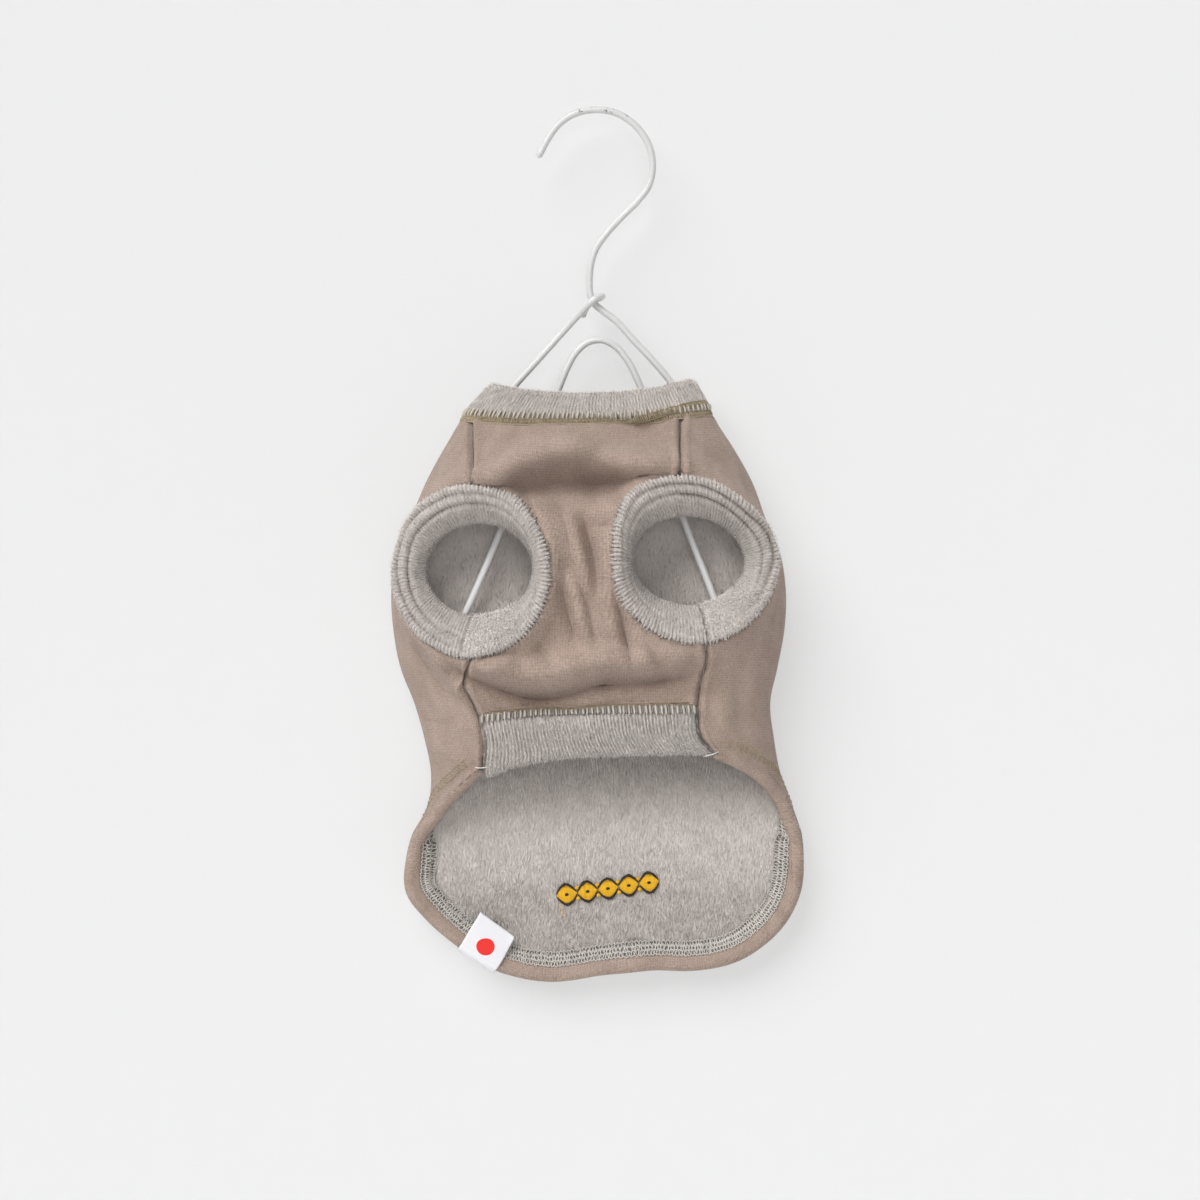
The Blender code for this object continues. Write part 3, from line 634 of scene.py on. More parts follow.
    def hem_line(self, count: int) -> Array:
        """(turn, height) points evenly spaced along the back's hem."""
        scale = np.array((10 * TURN_CM, 1.0))
        table = np.array(HEM, float) * (math.pi / 180, 1.0)
        dense = along_length(table * scale, 400) / scale
        length = run_lengths(self.surface(dense[:, 0], dense[:, 1]))
        even = np.linspace(0, length[-1], count)
        return np.stack([np.interp(even, length, dense[:, k]) for k in (0, 1)], axis=1)

    def back_grid(self, rows: Rows, across: Array) -> Arrays:
        """Turn angles and heights of the back, from the left seam round behind to the right.

        Args:
            rows: how many rows each stretch has.
            across: each column's share of the way.

        Returns:
            The turn angles and the heights.
        """
        left, right = self.side_edges(rows, medial=False)
        even = self.hem_line(801)
        place = across * 800
        hem = np.stack([np.interp(place, np.arange(801), even[:, k]) for k in (0, 1)], axis=1)
        left = np.stack([self.front_turn(left[:, 0], left[:, 1]), left[:, 1]], axis=1)
        right = np.stack([self.front_turn(right[:, 0], right[:, 1]), right[:, 1]], axis=1)
        for edge in (left, right):
            edge[0, 1] = self.neck_line(self.neck_seam, edge[0, 0])
        left[-1], right[-1] = hem[0], hem[-1]
        turn = left[0, 0] + across * (right[0, 0] - left[0, 0])
        top = np.stack([turn, self.neck_line(self.neck_seam, turn)], axis=1)
        scale = np.array((10 * TURN_CM, 1.0))
        grid = patch(left * scale, right * scale, top * scale, hem * scale, across) / scale
        return grid[..., 0], grid[..., 1]

    def hem_frame(self, turn: Array, height: Array) -> Arrays:
        """Normal of the cloth and the direction out of the hem, at the points of a hem line."""
        normal = self.normal(turn, height)
        tangent = unit(np.gradient(self.surface(turn, height), axis=0))
        return normal, unit(np.cross(normal, tangent))


def grid_quads(columns: int, rows: int, wrap_columns: bool = False, wrap_rows: bool = False,
               start: int = 0) -> Array:
    """Index quads of a grid of points stored column by column.

    Args:
        columns: how many columns of points.
        rows: how many in each.
        wrap_columns: whether the last column joins the first.
        wrap_rows: whether the last row joins the first.
        start: the first point's index.

    Returns:
        Four indices for each quad.
    """
    i = np.arange(columns if wrap_columns else columns - 1)[:, None]
    j = np.arange(rows if wrap_rows else rows - 1)[None, :]
    near, far, up = i * rows, ((i + 1) % columns) * rows, (j + 1) % rows
    return start + np.stack([near + j, near + up, far + up, far + j], axis=-1).reshape(-1, 4)


def grid_normals(points: Array, wrap_columns: bool) -> Array:
    """Unit normals of a grid, as the cross product of its steps along the columns and rows."""
    if wrap_columns:
        by_column = np.roll(points, -1, axis=0) - np.roll(points, 1, axis=0)
    else:
        by_column = np.gradient(points, axis=0)
    return unit(np.cross(by_column, np.gradient(points, axis=1)))


class Batch:
    """Meshes gathered into one piece."""

    def __init__(self) -> None:
        """Starts with nothing in it."""
        self.points: list[Array] = []
        self.skins: Skins = []
        self.uvs: list[Array] = []
        self.tones: list[Array] = []
        self.count = 0

    def add(self, points: Array, skins: Sequence[tuple[Array, int]], uv: Array | None = None,
            tone: Number = 0.5) -> None:
        """Adds one mesh.

        Args:
            points: its points, in millimetres.
            skins: rows of point indices, each with the number of the material they carry.
            uv: a place on the cloth for each point, in centimetres.
            tone: 0 to 1 for each point, darker to lighter.
        """
        points = np.asarray(points, float).reshape(-1, 3)
        corners = np.concatenate(
            [np.stack([faces[:, [0, k, k + 1]] for k in range(1, faces.shape[1] - 1)], axis=1)
             .reshape(-1, 3) for faces, _ in skins])
        flip = np.linalg.det(points[corners] - points.mean(axis=0)).sum() < 0
        for faces, slot in skins:
            self.skins.append(((faces[:, ::-1] if flip else faces) + self.count, slot))
        self.points.append(points)
        blank = np.zeros((len(points), 2))
        self.uvs.append(blank if uv is None else np.asarray(uv, float).reshape(-1, 2))
        self.tones.append(np.broadcast_to(np.asarray(tone, float).ravel(), len(points)))
        self.count += len(points)

    def piece(self, name: str, materials: Sequence[Material]) -> Object:
        """The gathered meshes as one object at the origin.

        Args:
            name: the piece's.
            materials: in the order of their numbers.

        Returns:
            The piece.
        """
        corners = np.concatenate([faces.ravel() for faces, _ in self.skins]).astype(np.int32)
        sizes = np.concatenate([np.full(len(f), f.shape[1], np.int32) for f, _ in self.skins])
        slots = np.concatenate([np.full(len(f), slot, np.int32) for f, slot in self.skins])
        mesh = bpy.data.meshes.new(name)
        mesh.vertices.add(self.count)
        mesh.vertices.foreach_set("co", (np.concatenate(self.points) * MM).astype("f").ravel())
        mesh.loops.add(len(corners))
        mesh.loops.foreach_set("vertex_index", corners)
        mesh.polygons.add(len(sizes))
        mesh.polygons.foreach_set("loop_start", np.cumsum(sizes, dtype=np.int32) - sizes)
        mesh.polygons.foreach_set("material_index", slots)
        mesh.update(calc_edges=True)
        layer = mesh.uv_layers.new(name="cloth")
        layer.data.foreach_set("uv", np.concatenate(self.uvs)[corners].astype("f").ravel())
        tone = mesh.attributes.new("tone", "FLOAT", "POINT")
        tone.data.foreach_set("value", np.concatenate(self.tones).astype("f"))
        mesh.shade_smooth()
        for material in materials:
            mesh.materials.append(material)
        return placed(name, mesh)


def placed(name: str, data: bpy.types.ID) -> Object:
    """A new object in the scene, with the given data."""
    made = bpy.data.objects.new(name, data)
    bpy.context.scene.collection.objects.link(made)
    return made


def one_mesh(name: str, materials: Sequence[Material], points: Array, skins: Skins,
             uv: Array | None = None, tone: Number = 0.5) -> Object:
    """A piece of a single mesh.

    Args:
        name: the piece's.
        materials: in the order of their numbers.
        points: in millimetres.
        skins: faces with their material's number.
        uv: a place on the cloth for each point.
        tone: how light each point is.

    Returns:
        The piece.
    """
    batch = Batch()
    batch.add(points, skins, uv, tone)
    return batch.piece(name, materials)


def shell_mesh(outer: Array, inner: Array) -> tuple[Array, Skins]:
    """A closed sheet from its two faces: the first carries material 0, the rest material 1.

    Args:
        outer: the first face's grid of points.
        inner: the second's.

    Returns:
        The points, and the faces with their materials.
    """
    columns, rows = outer.shape[:2]
    count = columns * rows
    index = np.arange(count).reshape(columns, rows)
    rim = np.concatenate([index[:-1, 0], index[-1, :-1], index[:0:-1, -1], index[0, :0:-1]])
    ahead = np.roll(rim, -1)
    edge = np.stack([rim, ahead, ahead + count, rim + count], axis=1)
    inside = grid_quads(columns, rows, start=count)[:, ::-1]
    points = np.concatenate([outer.reshape(-1, 3), inner.reshape(-1, 3)])
    return points, [(grid_quads(columns, rows), 0), (inside, 1), (edge, 1)]


def tube_mesh(paths: Array, radius: Number, sides: int, reference: Array,
              pitch: float = 1.0) -> tuple[Array, Skins, Array]:
    """Closed tubes along many paths at once.

    Each ring is a regular polygon in the plane across the path: its points are the path's point
    plus the radius times the cosine and sine along two directions across it.

    Args:
        paths: (tubes, points, 3).
        radius: one number, or one for each path point.
        sides: corners of each ring.
        reference: a direction that no path runs along, for each path point.
        pitch: centimetres of cloth for one path step, for the thread's own pattern.

    Returns:
        Points, faces with their material, and a place along the thread for each point.
    """
    tubes, length = paths.shape[:2]
    ahead = unit(np.gradient(paths, axis=1))
    side = unit(np.cross(ahead, np.broadcast_to(reference, paths.shape)))
    other = np.cross(side, ahead)
    angle = 2 * math.pi * np.arange(sides) / sides
    reach = np.broadcast_to(radius, (tubes, length))[..., None, None]
    ring = np.cos(angle)[:, None] * side[:, :, None] + np.sin(angle)[:, None] * other[:, :, None]
    points = paths[:, :, None] + reach * ring
    starts = (np.arange(tubes) * length * sides)[:, None]
    body = (grid_quads(length, sides, wrap_rows=True)[None] + starts[..., None]).reshape(-1, 4)
    first = np.arange(sides) + starts
    last = first[:, ::-1] + (length - 1) * sides
    along = np.broadcast_to(np.arange(length)[None, :, None] * pitch, points.shape[:3])
    round_it = np.broadcast_to(angle / (2 * math.pi), points.shape[:3])
    uv = np.stack([round_it, along], axis=-1)
    return points.reshape(-1, 3), [(body, 0), (first, 0), (last, 0)], uv.reshape(-1, 2)


def capsule(length: int) -> Array:
    """Radius shares along a short thread: small at both ends and full between."""
    share = np.linspace(-1, 1, length)
    return np.clip(1 - share**6, 0.12, 1) ** 0.5


def spike_mesh(roots: Array, tips: Array, width: Number, dice: Dice) -> tuple[Array, Skins]:
    """Hairs: each a slim closed spike of four triangles from a three-cornered root to its tip.

    Args:
        roots: where they start.
        tips: where they end.
        width: the root's.
        dice: the seeded source of chance.

    Returns:
        The points, and the faces with their material.
    """
    axis = unit(tips - roots)
    side = unit(np.cross(axis, dice.normal(size=axis.shape)))
    other = np.cross(axis, side)
    angle = 2 * math.pi * np.arange(3) / 3
    ring = np.cos(angle)[:, None] * side[:, None] + np.sin(angle)[:, None] * other[:, None]
    wide = np.broadcast_to(np.asarray(width) / 2, len(roots))[:, None, None]
    points = np.concatenate([roots[:, None] + wide * ring, tips[:, None]], axis=1)
    faces = np.array([(0, 1, 3), (1, 2, 3), (2, 0, 3), (2, 1, 0)])
    rows = faces[None] + 4 * np.arange(len(roots))[:, None, None]
    return points.reshape(-1, 3), [(rows.reshape(-1, 3), 0)]


def scatter(points: Array, count: int, dice: Dice, keep: Array | None = None) -> Arrays:
    """Random places on a grid, as many to each area.

    Args:
        points: the grid, (columns, rows, 3).
        count: how many places.
        dice: the seeded source of chance.
        keep: how thickly each grid point is covered, from 0 to 1.

    Returns:
        Each place's column and row, with fractions.
    """
    a, b = points[1:, 1:] - points[:-1, :-1], points[1:, :-1] - points[:-1, 1:]
    weight = np.linalg.norm(np.cross(a, b), axis=-1)
    if keep is not None:
        weight = weight * keep[:-1, :-1]
    cell = dice.choice(weight.size, size=count, p=weight.ravel() / weight.sum())
    rows = weight.shape[1]
    return cell // rows + dice.random(count), cell % rows + dice.random(count)


def read_grid(grid: Array, column: Array, row: Array) -> Array:
    """Values between a grid's points, from the four round each place.

    Args:
        grid: (columns, rows, values).
        column: with fractions.
        row: with fractions.

    Returns:
        The values at each place.
    """
    i = np.clip(column.astype(int), 0, grid.shape[0] - 2)
    j = np.clip(row.astype(int), 0, grid.shape[1] - 2)
    u, v = (column - i)[:, None], (row - j)[:, None]
    near = (1 - v) * grid[i, j] + v * grid[i, j + 1]
    return (1 - u) * near + u * ((1 - v) * grid[i + 1, j] + v * grid[i + 1, j + 1])


@dataclass(frozen=True)
class Pile:
    """Short hairs of fleece, in millimetres."""

    length: float = 2.0
    width: float = 0.42
    stand: float = 0.45
    stray: float = 0.22
    uneven: float = 0.3
    mottle: float = 0.16

    def grow(self, batch: Batch, roots: Array, normal: Array, flow: Array,
             dice: Dice, tone: Number = 0.5) -> None:
        """Adds a hair at each root.

        Its tip is its length away, along the flow plus its stand times the normal plus a little
        chance.

        Args:
            batch: what they are added to.
            roots: where they start.
            normal: away from the cloth at each root.
            flow: the way they are brushed.
            dice: the seeded source of chance.
            tone: how light each hair is.
        """
        count = len(roots)
        chance = dice.normal(size=(count, 3)) * self.stray
        reach = self.length * (1 + self.uneven * dice.uniform(-1, 1, count))
        lean = unit(flow + self.stand * normal + chance)
        points, skins = spike_mesh(
            roots - 0.15 * normal, roots + reach[:, None] * lean, self.width, dice)
        shade = np.broadcast_to(tone, count) + dice.normal(size=count) * self.mottle
        # painted shade at each hair's root and painted light at its tip
        ends = shade[:, None] + np.array((-0.18, -0.18, -0.18, 0.2))
        batch.add(points, skins, tone=np.clip(ends, 0, 1).ravel())


def ink(red: int, green: int, blue: int) -> Colour:
    """Linear colour of a display colour given from 0 to 255."""
    parts = [value / 255 for value in (red, green, blue)]
    line = [p / 12.92 if p <= 0.04045 else ((p + 0.055) / 1.055) ** 2.4 for p in parts]
    return (line[0], line[1], line[2], 1.0)


class Tree:
    """A node tree, with short calls for adding and joining nodes."""

    def __init__(self, tree: NodeTree) -> None:
        """Holds the tree that it works on."""
        self.tree = tree

    def put(self, socket: NodeSocket, value: object) -> None:
        """Joins an output to a socket, or sets the socket's own value."""
        if isinstance(value, NodeSocket):
            self.tree.links.new(value, socket)
        else:
            socket.default_value = value

    def add(self, kind: str, options: dict[str, object] | None = None,
            **sockets: object) -> Node:
        """Adds a node.

        Args:
            kind: its type, without the leading ShaderNode.
            options: its own settings.
            sockets: values or outputs for its inputs, with _ for a space in their names.

        Returns:
            The node.
        """
        node = self.tree.nodes.new("ShaderNode" + kind)
        for key, value in (options or {}).items():
            setattr(node, key, value)
        for key, value in sockets.items():
            self.put(node.inputs[key.replace("_", " ")], value)
        return node

    def maths(self, operation: str, *values: object) -> NodeSocket:
        """One step of arithmetic."""
        node = self.add("Math", {"operation": operation})
        for socket, value in zip(node.inputs, values):
            self.put(socket, value)
        return node.outputs[0]

    def total(self, *terms: tuple[object, float]) -> NodeSocket:
        """Sum of outputs, each times its own weight."""
        result: object = 0.0
        for value, weight in terms:
            result = self.maths("MULTIPLY_ADD", value, weight, result)
        return result

    def blend(self, share: object, low: object, high: object) -> NodeSocket:
        """A colour between two, by a share."""
        node = self.add("Mix", {"data_type": "RGBA", "clamp_factor": True})
        for index, value in ((0, share), (6, low), (7, high)):
            self.put(node.inputs[index], value)
        return node.outputs[2]

    def tone(self) -> NodeSocket:
        """The tone that each point of a mesh carries."""
        return self.add("Attribute", {"attribute_name": "tone"}).outputs["Fac"]

    def mix(self, share: object, low: Node, high: Node) -> Node:
        """A shader between two, by a share."""
        node = self.add("MixShader")
        for socket, value in zip(node.inputs, (share, low.outputs[0], high.outputs[0])):
            self.put(socket, value)
        return node

    def span(self, value: object, low: float, high: float) -> NodeSocket:
        """0 below low, 1 above high, and a smooth step between."""
        node = self.add("MapRange", {"interpolation_type": "SMOOTHSTEP"},
                        Value=value, From_Min=low, From_Max=high)
        return node.outputs[0]

    def noise(self, vector: object, scale: float, detail: float = 2.0,
              distortion: float = 0.0) -> NodeSocket:
        """Soft noise round 0, about a half each way."""
        node = self.add("TexNoise", None, Vector=vector, Scale=scale, Detail=detail,
                        Distortion=distortion)
        return self.maths("SUBTRACT", node.outputs[0], 0.5)


def start_effect(name: str, inputs: Sequence[str]) -> tuple[NodeTree, Tree, dict]:
    """A new node group with a Vector and some number inputs, and the outputs Tone and Height."""
    group = bpy.data.node_groups.new(name, "ShaderNodeTree")
    group.interface.new_socket("Vector", in_out="INPUT", socket_type="NodeSocketVector")
    for key in inputs:
        group.interface.new_socket(key, in_out="INPUT", socket_type="NodeSocketFloat")
    for key in ("Tone", "Height"):
        group.interface.new_socket(key, in_out="OUTPUT", socket_type="NodeSocketFloat")
    start = group.nodes.new("NodeGroupInput")
    return group, Tree(group), {socket.name: socket for socket in start.outputs}


def end_effect(tree: Tree, tone: object, height: object) -> None:
    """Joins the two outputs of a node group."""
    node = tree.tree.nodes.new("NodeGroupOutput")
    tree.put(node.inputs["Tone"], tone)
    tree.put(node.inputs["Height"], height)


@lru_cache(maxsize=None)
def knit_face() -> NodeTree:
    """Wales and courses as two sines, a fine nap, and slow unevenness in the dye."""
    group, tree, given = start_effect("knit_face", ("Wale", "Course"))
    place = tree.add("SeparateXYZ", None, Vector=given["Vector"])
    sway = tree.noise(given["Vector"], 4.0, 1.0)
    across = tree.maths("DIVIDE", place.outputs[0], given["Wale"])
    across = tree.total((across, 1.0), (sway, 0.9))
    wale = tree.maths("SINE", tree.maths("MULTIPLY", across, 2 * math.pi))
    down = tree.maths("DIVIDE", place.outputs[1], given["Course"])
    down = tree.total((down, 2 * math.pi), (wale, 0.9), (sway, 5.0))
    course = tree.maths("SINE", down)
    nap = tree.noise(given["Vector"], 26.0, 3.0)
    melange = tree.noise(given["Vector"], 9.0, 2.0, 0.6)
    slow = tree.noise(given["Vector"], 0.8, 2.0)
    tone = tree.total((wale, 0.09), (course, 0.1), (nap, 1.1), (melange, 0.9), (slow, 0.6),
                      (1.0, 0.5))
    end_effect(tree, tone, tree.total((wale, 0.18), (course, 0.24), (nap, 1.8), (melange, 1.0)))
    return group


@lru_cache(maxsize=None)
def fleece_pile() -> NodeTree:
    """Brushed pile: noise drawn out along the brushing, in two sizes, and soft patches."""
    group, tree, given = start_effect("fleece_pile", ("Streak", "Drawn"))
    narrow = tree.add("CombineXYZ", None, X=given["Streak"], Y=given["Drawn"], Z=1.0)
    drawn = tree.add("VectorMath", {"operation": "MULTIPLY"})
    tree.put(drawn.inputs[0], given["Vector"])
    tree.put(drawn.inputs[1], narrow.outputs[0])
    coarse = tree.noise(drawn.outputs[0], 1.0, 2.0, 0.5)
    fine = tree.noise(drawn.outputs[0], 2.6, 2.0, 0.3)
    patches = tree.noise(given["Vector"], 1.3, 2.0)
    tone = tree.total((coarse, 1.1), (fine, 0.7), (patches, 0.55), (1.0, 0.5))
    end_effect(tree, tone, tree.total((coarse, 1.4), (fine, 1.0)))
    return group


@lru_cache(maxsize=None)
def thread_twist() -> NodeTree:
    """Two plies twisted together: a sine round and along the thread, with a little noise."""
    group, tree, given = start_effect("thread_twist", ("Pitch",))
    place = tree.add("SeparateXYZ", None, Vector=given["Vector"])
    along = tree.maths("DIVIDE", place.outputs[1], given["Pitch"])
    turn = tree.total((along, 1.0), (place.outputs[0], 2.0))
    ply = tree.maths("SINE", tree.maths("MULTIPLY", turn, 2 * math.pi))
    fuzz = tree.noise(given["Vector"], 14.0, 2.0)
    end_effect(tree, tree.total((ply, 0.16), (fuzz, 0.6), (1.0, 0.5)), ply)
    return group


class Finish:
    """What every finish shares: a Principled shader with its plain values on its own sockets."""

    @staticmethod
    def start(name: str, **sockets: object) -> tuple[Material, Tree, Node]:
        """A new material, its tree, and its shader with the given sockets set."""
        material = bpy.data.materials.new(name)
        material.use_nodes = True
        tree = Tree(material.node_tree)
        shader = material.node_tree.nodes["Principled BSDF"]
        for key, value in sockets.items():
            tree.put(shader.inputs[key.replace("_", " ")], value)
        return material, tree, shader

    @staticmethod
    def effect(tree: Tree, group: NodeTree, **sockets: object) -> Node:
        """Places a shared effect in a material, on the piece's own cloth coordinates."""
        node = tree.add("Group", {"node_tree": group})
        tree.put(node.inputs["Vector"], tree.add("UVMap", {"uv_map": "cloth"}).outputs[0])
        for key, value in sockets.items():
            tree.put(node.inputs[key], value)
        return node

    @staticmethod
    def tint(tree: Tree, shader: Node, share: object, low: object, high: object) -> None:
        """Colours the surface between two colours, by a share."""
        tree.put(shader.inputs["Base Color"], tree.blend(share, low, high))

    @staticmethod
    def relief(tree: Tree, shader: Node, height: object, depth: float) -> None:
        """Raises the surface by a height, at a depth in millimetres."""
        bump = tree.add("Bump", None, Height=height, Distance=depth * MM, Strength=1.0)
        tree.put(shader.inputs["Normal"], bump.outputs[0])


@dataclass(frozen=True)
class KnitFinish(Finish):
    """The sweat knit's brushed face: fine wales, a soft nap and uneven dye."""

    name: str = "taupe_knit"
    dark: Colour = ink(134, 115, 104)
    light: Colour = ink(193, 173, 160)
    wale: float = 0.118
    course: float = 0.108
    depth: float = 0.2

    def make(self) -> Material:
        """The material."""
        material, tree, shader = self.start(
            self.name, Roughness=0.95, Sheen_Weight=0.12, Sheen_Roughness=0.5,
            Specular_IOR_Level=0.15)
        face = self.effect(tree, knit_face(), Wale=self.wale, Course=self.course)
        self.tint(tree, shader, face.outputs[0], self.dark, self.light)
        self.relief(tree, shader, face.outputs[1], self.depth)
        return material


@dataclass(frozen=True)
class FleeceFinish(Finish):
    """The ground of the fleece, under its hairs: brushed streaks, with painted shade between them."""

    name: str = "grey_fleece"
    dark: Colour = ink(120, 112, 106)
    light: Colour = ink(226, 218, 212)
    streak: float = 11.0
    drawn: float = 2.8
    depth: float = 0.35

    def make(self) -> Material:
        """The material."""
        material, tree, shader = self.start(
            self.name, Roughness=1.0, Sheen_Weight=0.25, Sheen_Roughness=0.4,
            Specular_IOR_Level=0.1)
        face = self.effect(tree, fleece_pile(), Streak=self.streak, Drawn=self.drawn)
        share = tree.total((face.outputs[0], 0.8), (tree.tone(), 1.0), (1.0, -0.4))
        self.tint(tree, shader, share, self.dark, self.light)
        self.relief(tree, shader, face.outputs[1], self.depth)
        return material


@dataclass(frozen=True)
class HairFinish(Finish):
    """The fleece's hairs: each one's own tone, with painted shade at its root and painted light at
    its tip.
    """

    name: str = "fleece_hair"
    dark: Colour = ink(160, 151, 145)
    light: Colour = ink(248, 241, 236)

    def make(self) -> Material:
        """The material."""
        material, tree, shader = self.start(
            self.name, Roughness=0.9, Sheen_Weight=0.25, Sheen_Roughness=0.4,
            Specular_IOR_Level=0.15)
        soft = tree.noise(tree.add("TexCoord").outputs["Object"], 260.0, 2.0)
        share = tree.total((tree.tone(), 1.0), (soft, 0.5))
        self.tint(tree, shader, share, self.dark, self.light)
        return material


@dataclass(frozen=True)
class ThreadFinish(Finish):
    """Sewing thread: two plies, each stitch a little lighter or darker."""

    name: str
    dark: Colour
    light: Colour
    roughness: float
    pitch: float = 0.06

    def make(self) -> Material:
        """The material."""
        material, tree, shader = self.start(
            self.name, Roughness=self.roughness, Sheen_Weight=0.1, Specular_IOR_Level=0.3)
        twist = self.effect(tree, thread_twist(), Pitch=self.pitch)
        share = tree.total((tree.tone(), 0.6), (twist.outputs[0], 0.5))
        self.tint(tree, shader, share, self.dark, self.light)
        self.relief(tree, shader, twist.outputs[1], 0.03)
        return material


@dataclass(frozen=True)
class TapeFinish(Finish):
    """White woven tape with a plain red disc, its place in centimetres from the tape's middle."""

    name: str = "label_tape"
    white: Colour = ink(240, 239, 242)
    shade: Colour = ink(228, 227, 231)
    red: Colour = ink(236, 50, 46)
    disc: Pair = (0.0, 0.0)
    radius: float = 0.405

    def make(self) -> Material:
        """The material."""
        material, tree, shader = self.start(
            self.name, Roughness=0.6, Sheen_Weight=0.05, Specular_IOR_Level=0.3)
        place = tree.add("UVMap", {"uv_map": "cloth"}).outputs[0]
        spot = tree.add("SeparateXYZ", None, Vector=place)
        warp = tree.maths("SINE", tree.maths("MULTIPLY", spot.outputs[0], 2 * math.pi / 0.028))
        weft = tree.maths("SINE", tree.maths("MULTIPLY", spot.outputs[1], 2 * math.pi / 0.034))
        away = tree.add("VectorMath", {"operation": "DISTANCE"})
        tree.put(away.inputs[0], place)
        tree.put(away.inputs[1], (*self.disc, 0.0))
        ragged = tree.total((away.outputs["Value"], 1.0), (weft, 0.004), (warp, 0.003))
        inside = tree.maths("SUBTRACT", 1.0, tree.span(ragged, self.radius - 0.012, self.radius))
        cloth = tree.blend(tree.total((warp, 0.25), (weft, 0.25), (1.0, 0.5)), self.shade, self.white)
        self.tint(tree, shader, inside, cloth, self.red)
        self.relief(tree, shader, tree.total((warp, 0.5), (weft, 0.5), (inside, 1.2)), 0.03)
        return material


@dataclass(frozen=True)
class PaintFinish(Finish):
    """White paint on steel wire, chipped and rubbed to grey metal where the hook hangs, and whiter
    low down as painted light where the wire lies in the vest's shade.
    """

    name: str = "wire_paint"
    paint: Colour = ink(208, 208, 207)
    painted_light_colour: Colour = ink(246, 246, 246)
    metal: Colour = ink(120, 120, 121)
    worn_from: float = -0.008
    worn_to: float = 0.004

    def make(self) -> Material:
        """The material."""
        material, tree, shader = self.start(
            self.name, Specular_IOR_Level=0.5, Coat_Roughness=0.2)
        place = tree.add("TexCoord").outputs["Object"]
        height = tree.add("SeparateXYZ", None, Vector=place).outputs[2]
        hang = tree.span(height, self.worn_from, self.worn_to)
        chips = tree.noise(place, 520.0, 3.0, 0.4)
        scuffs = tree.noise(place, 1900.0, 2.0)
        worn = tree.total((chips, 1.0), (scuffs, 0.35), (hang, 0.3))
        bare = tree.span(worn, 0.37, 0.42)
        dirt = tree.noise(place, 90.0, 3.0)
        # painted light: the wire turns whiter below 16 cm down, where it lies inside the vest
        paint = tree.blend(tree.span(height, -0.14, -0.16), self.paint, self.painted_light_colour)
        self.tint(tree, shader, bare, paint, self.metal)
        tree.put(shader.inputs["Metallic"], tree.maths("MULTIPLY", bare, 0.7))
        tree.put(shader.inputs["Roughness"], tree.total((bare, 0.15), (dirt, 0.12), (1.0, 0.3)))
        tree.put(shader.inputs["Coat Weight"], tree.maths("MULTIPLY_ADD", bare, -0.25, 0.25))
        runs = tree.noise(place, 240.0, 2.0)
        self.relief(tree, shader, tree.total((runs, 0.5), (bare, -0.8)), 0.05)
        return material


def thread(name: str, dark: Colour, light: Colour, roughness: float = 0.65) -> Material:
    """A field filled with one thread's material."""
    return field(default_factory=ThreadFinish(name, dark, light, roughness).make)



@dataclass(frozen=True)
class Finishes:
    """Every material of the vest and its hanger, each made as the finishes are."""

    knit: Material = field(default_factory=KnitFinish().make)
    fleece: Material = field(default_factory=FleeceFinish().make)
    hair: Material = field(default_factory=HairFinish().make)
    khaki: Material = thread("khaki_thread", ink(112, 99, 76), ink(186, 171, 144))
    pale: Material = thread("pale_thread", ink(158, 149, 134), ink(208, 201, 190))
    grey: Material = thread("grey_thread", ink(84, 80, 75), ink(226, 220, 212))
    white: Material = thread("white_thread", ink(214, 212, 208), ink(244, 242, 238))
    yellow: Material = thread("yellow_thread", ink(205, 148, 14), ink(245, 196, 40), 0.45)
    dark: Material = thread("dark_thread", ink(24, 20, 14), ink(62, 52, 36), 0.5)
    tape: Material = field(default_factory=TapeFinish().make)
    wire: Material = field(default_factory=PaintFinish().make)


def cloth_uv(turn: Array, height: Array) -> Array:
    """A flat place on the cloth, in centimetres."""
    return np.stack([turn * TURN_CM, np.broadcast_to(height, turn.shape) / 10], axis=-1)


def lining_painted_light(height: Array) -> Array:
    """Painted light and shade on the lining: painted light across the middle of the flap, painted
    shadow just under the belly band, and painted shade towards the bottom.
    """
    tone = 0.5 + 0.3 * bell(height + 322, 22) - 0.08 * fade((-342 - height) / 14)
    return tone - 0.16 * bell(height + 292, 8)


def hole_painted_light(height: Array) -> Array:
    """1 at the heights of the leg holes, fading to 0 above them and below: the weight of the painted
    light on the lining seen through the holes.
    """
    return fade((-height - 150) / 10) * fade((260 + height) / 10)


@dataclass(frozen=True)
class Seam:
    """How a sewn edge is drawn in: a trough at the stitches and a soft swelling beside it."""

    depth: float
    width: float
    puff: float

    def lift(self, distance: Array, along: Array, seed: int) -> Array:
        """Lift at a distance from the edge, uneven along it.

        Args:
            distance: from the edge.
            along: along it.
            seed: which unevenness.

        Returns:
            The lift at each place.
        """
        swelling = self.puff * (1 + 0.5 * wander(along, 17, seed))
        trough = self.depth * (1 + 0.18 * wander(along, 9, seed + 1))
        return (swelling * bell(distance - 3.2 * self.width, 1.9 * self.width)
                - trough * bell(distance, self.width))


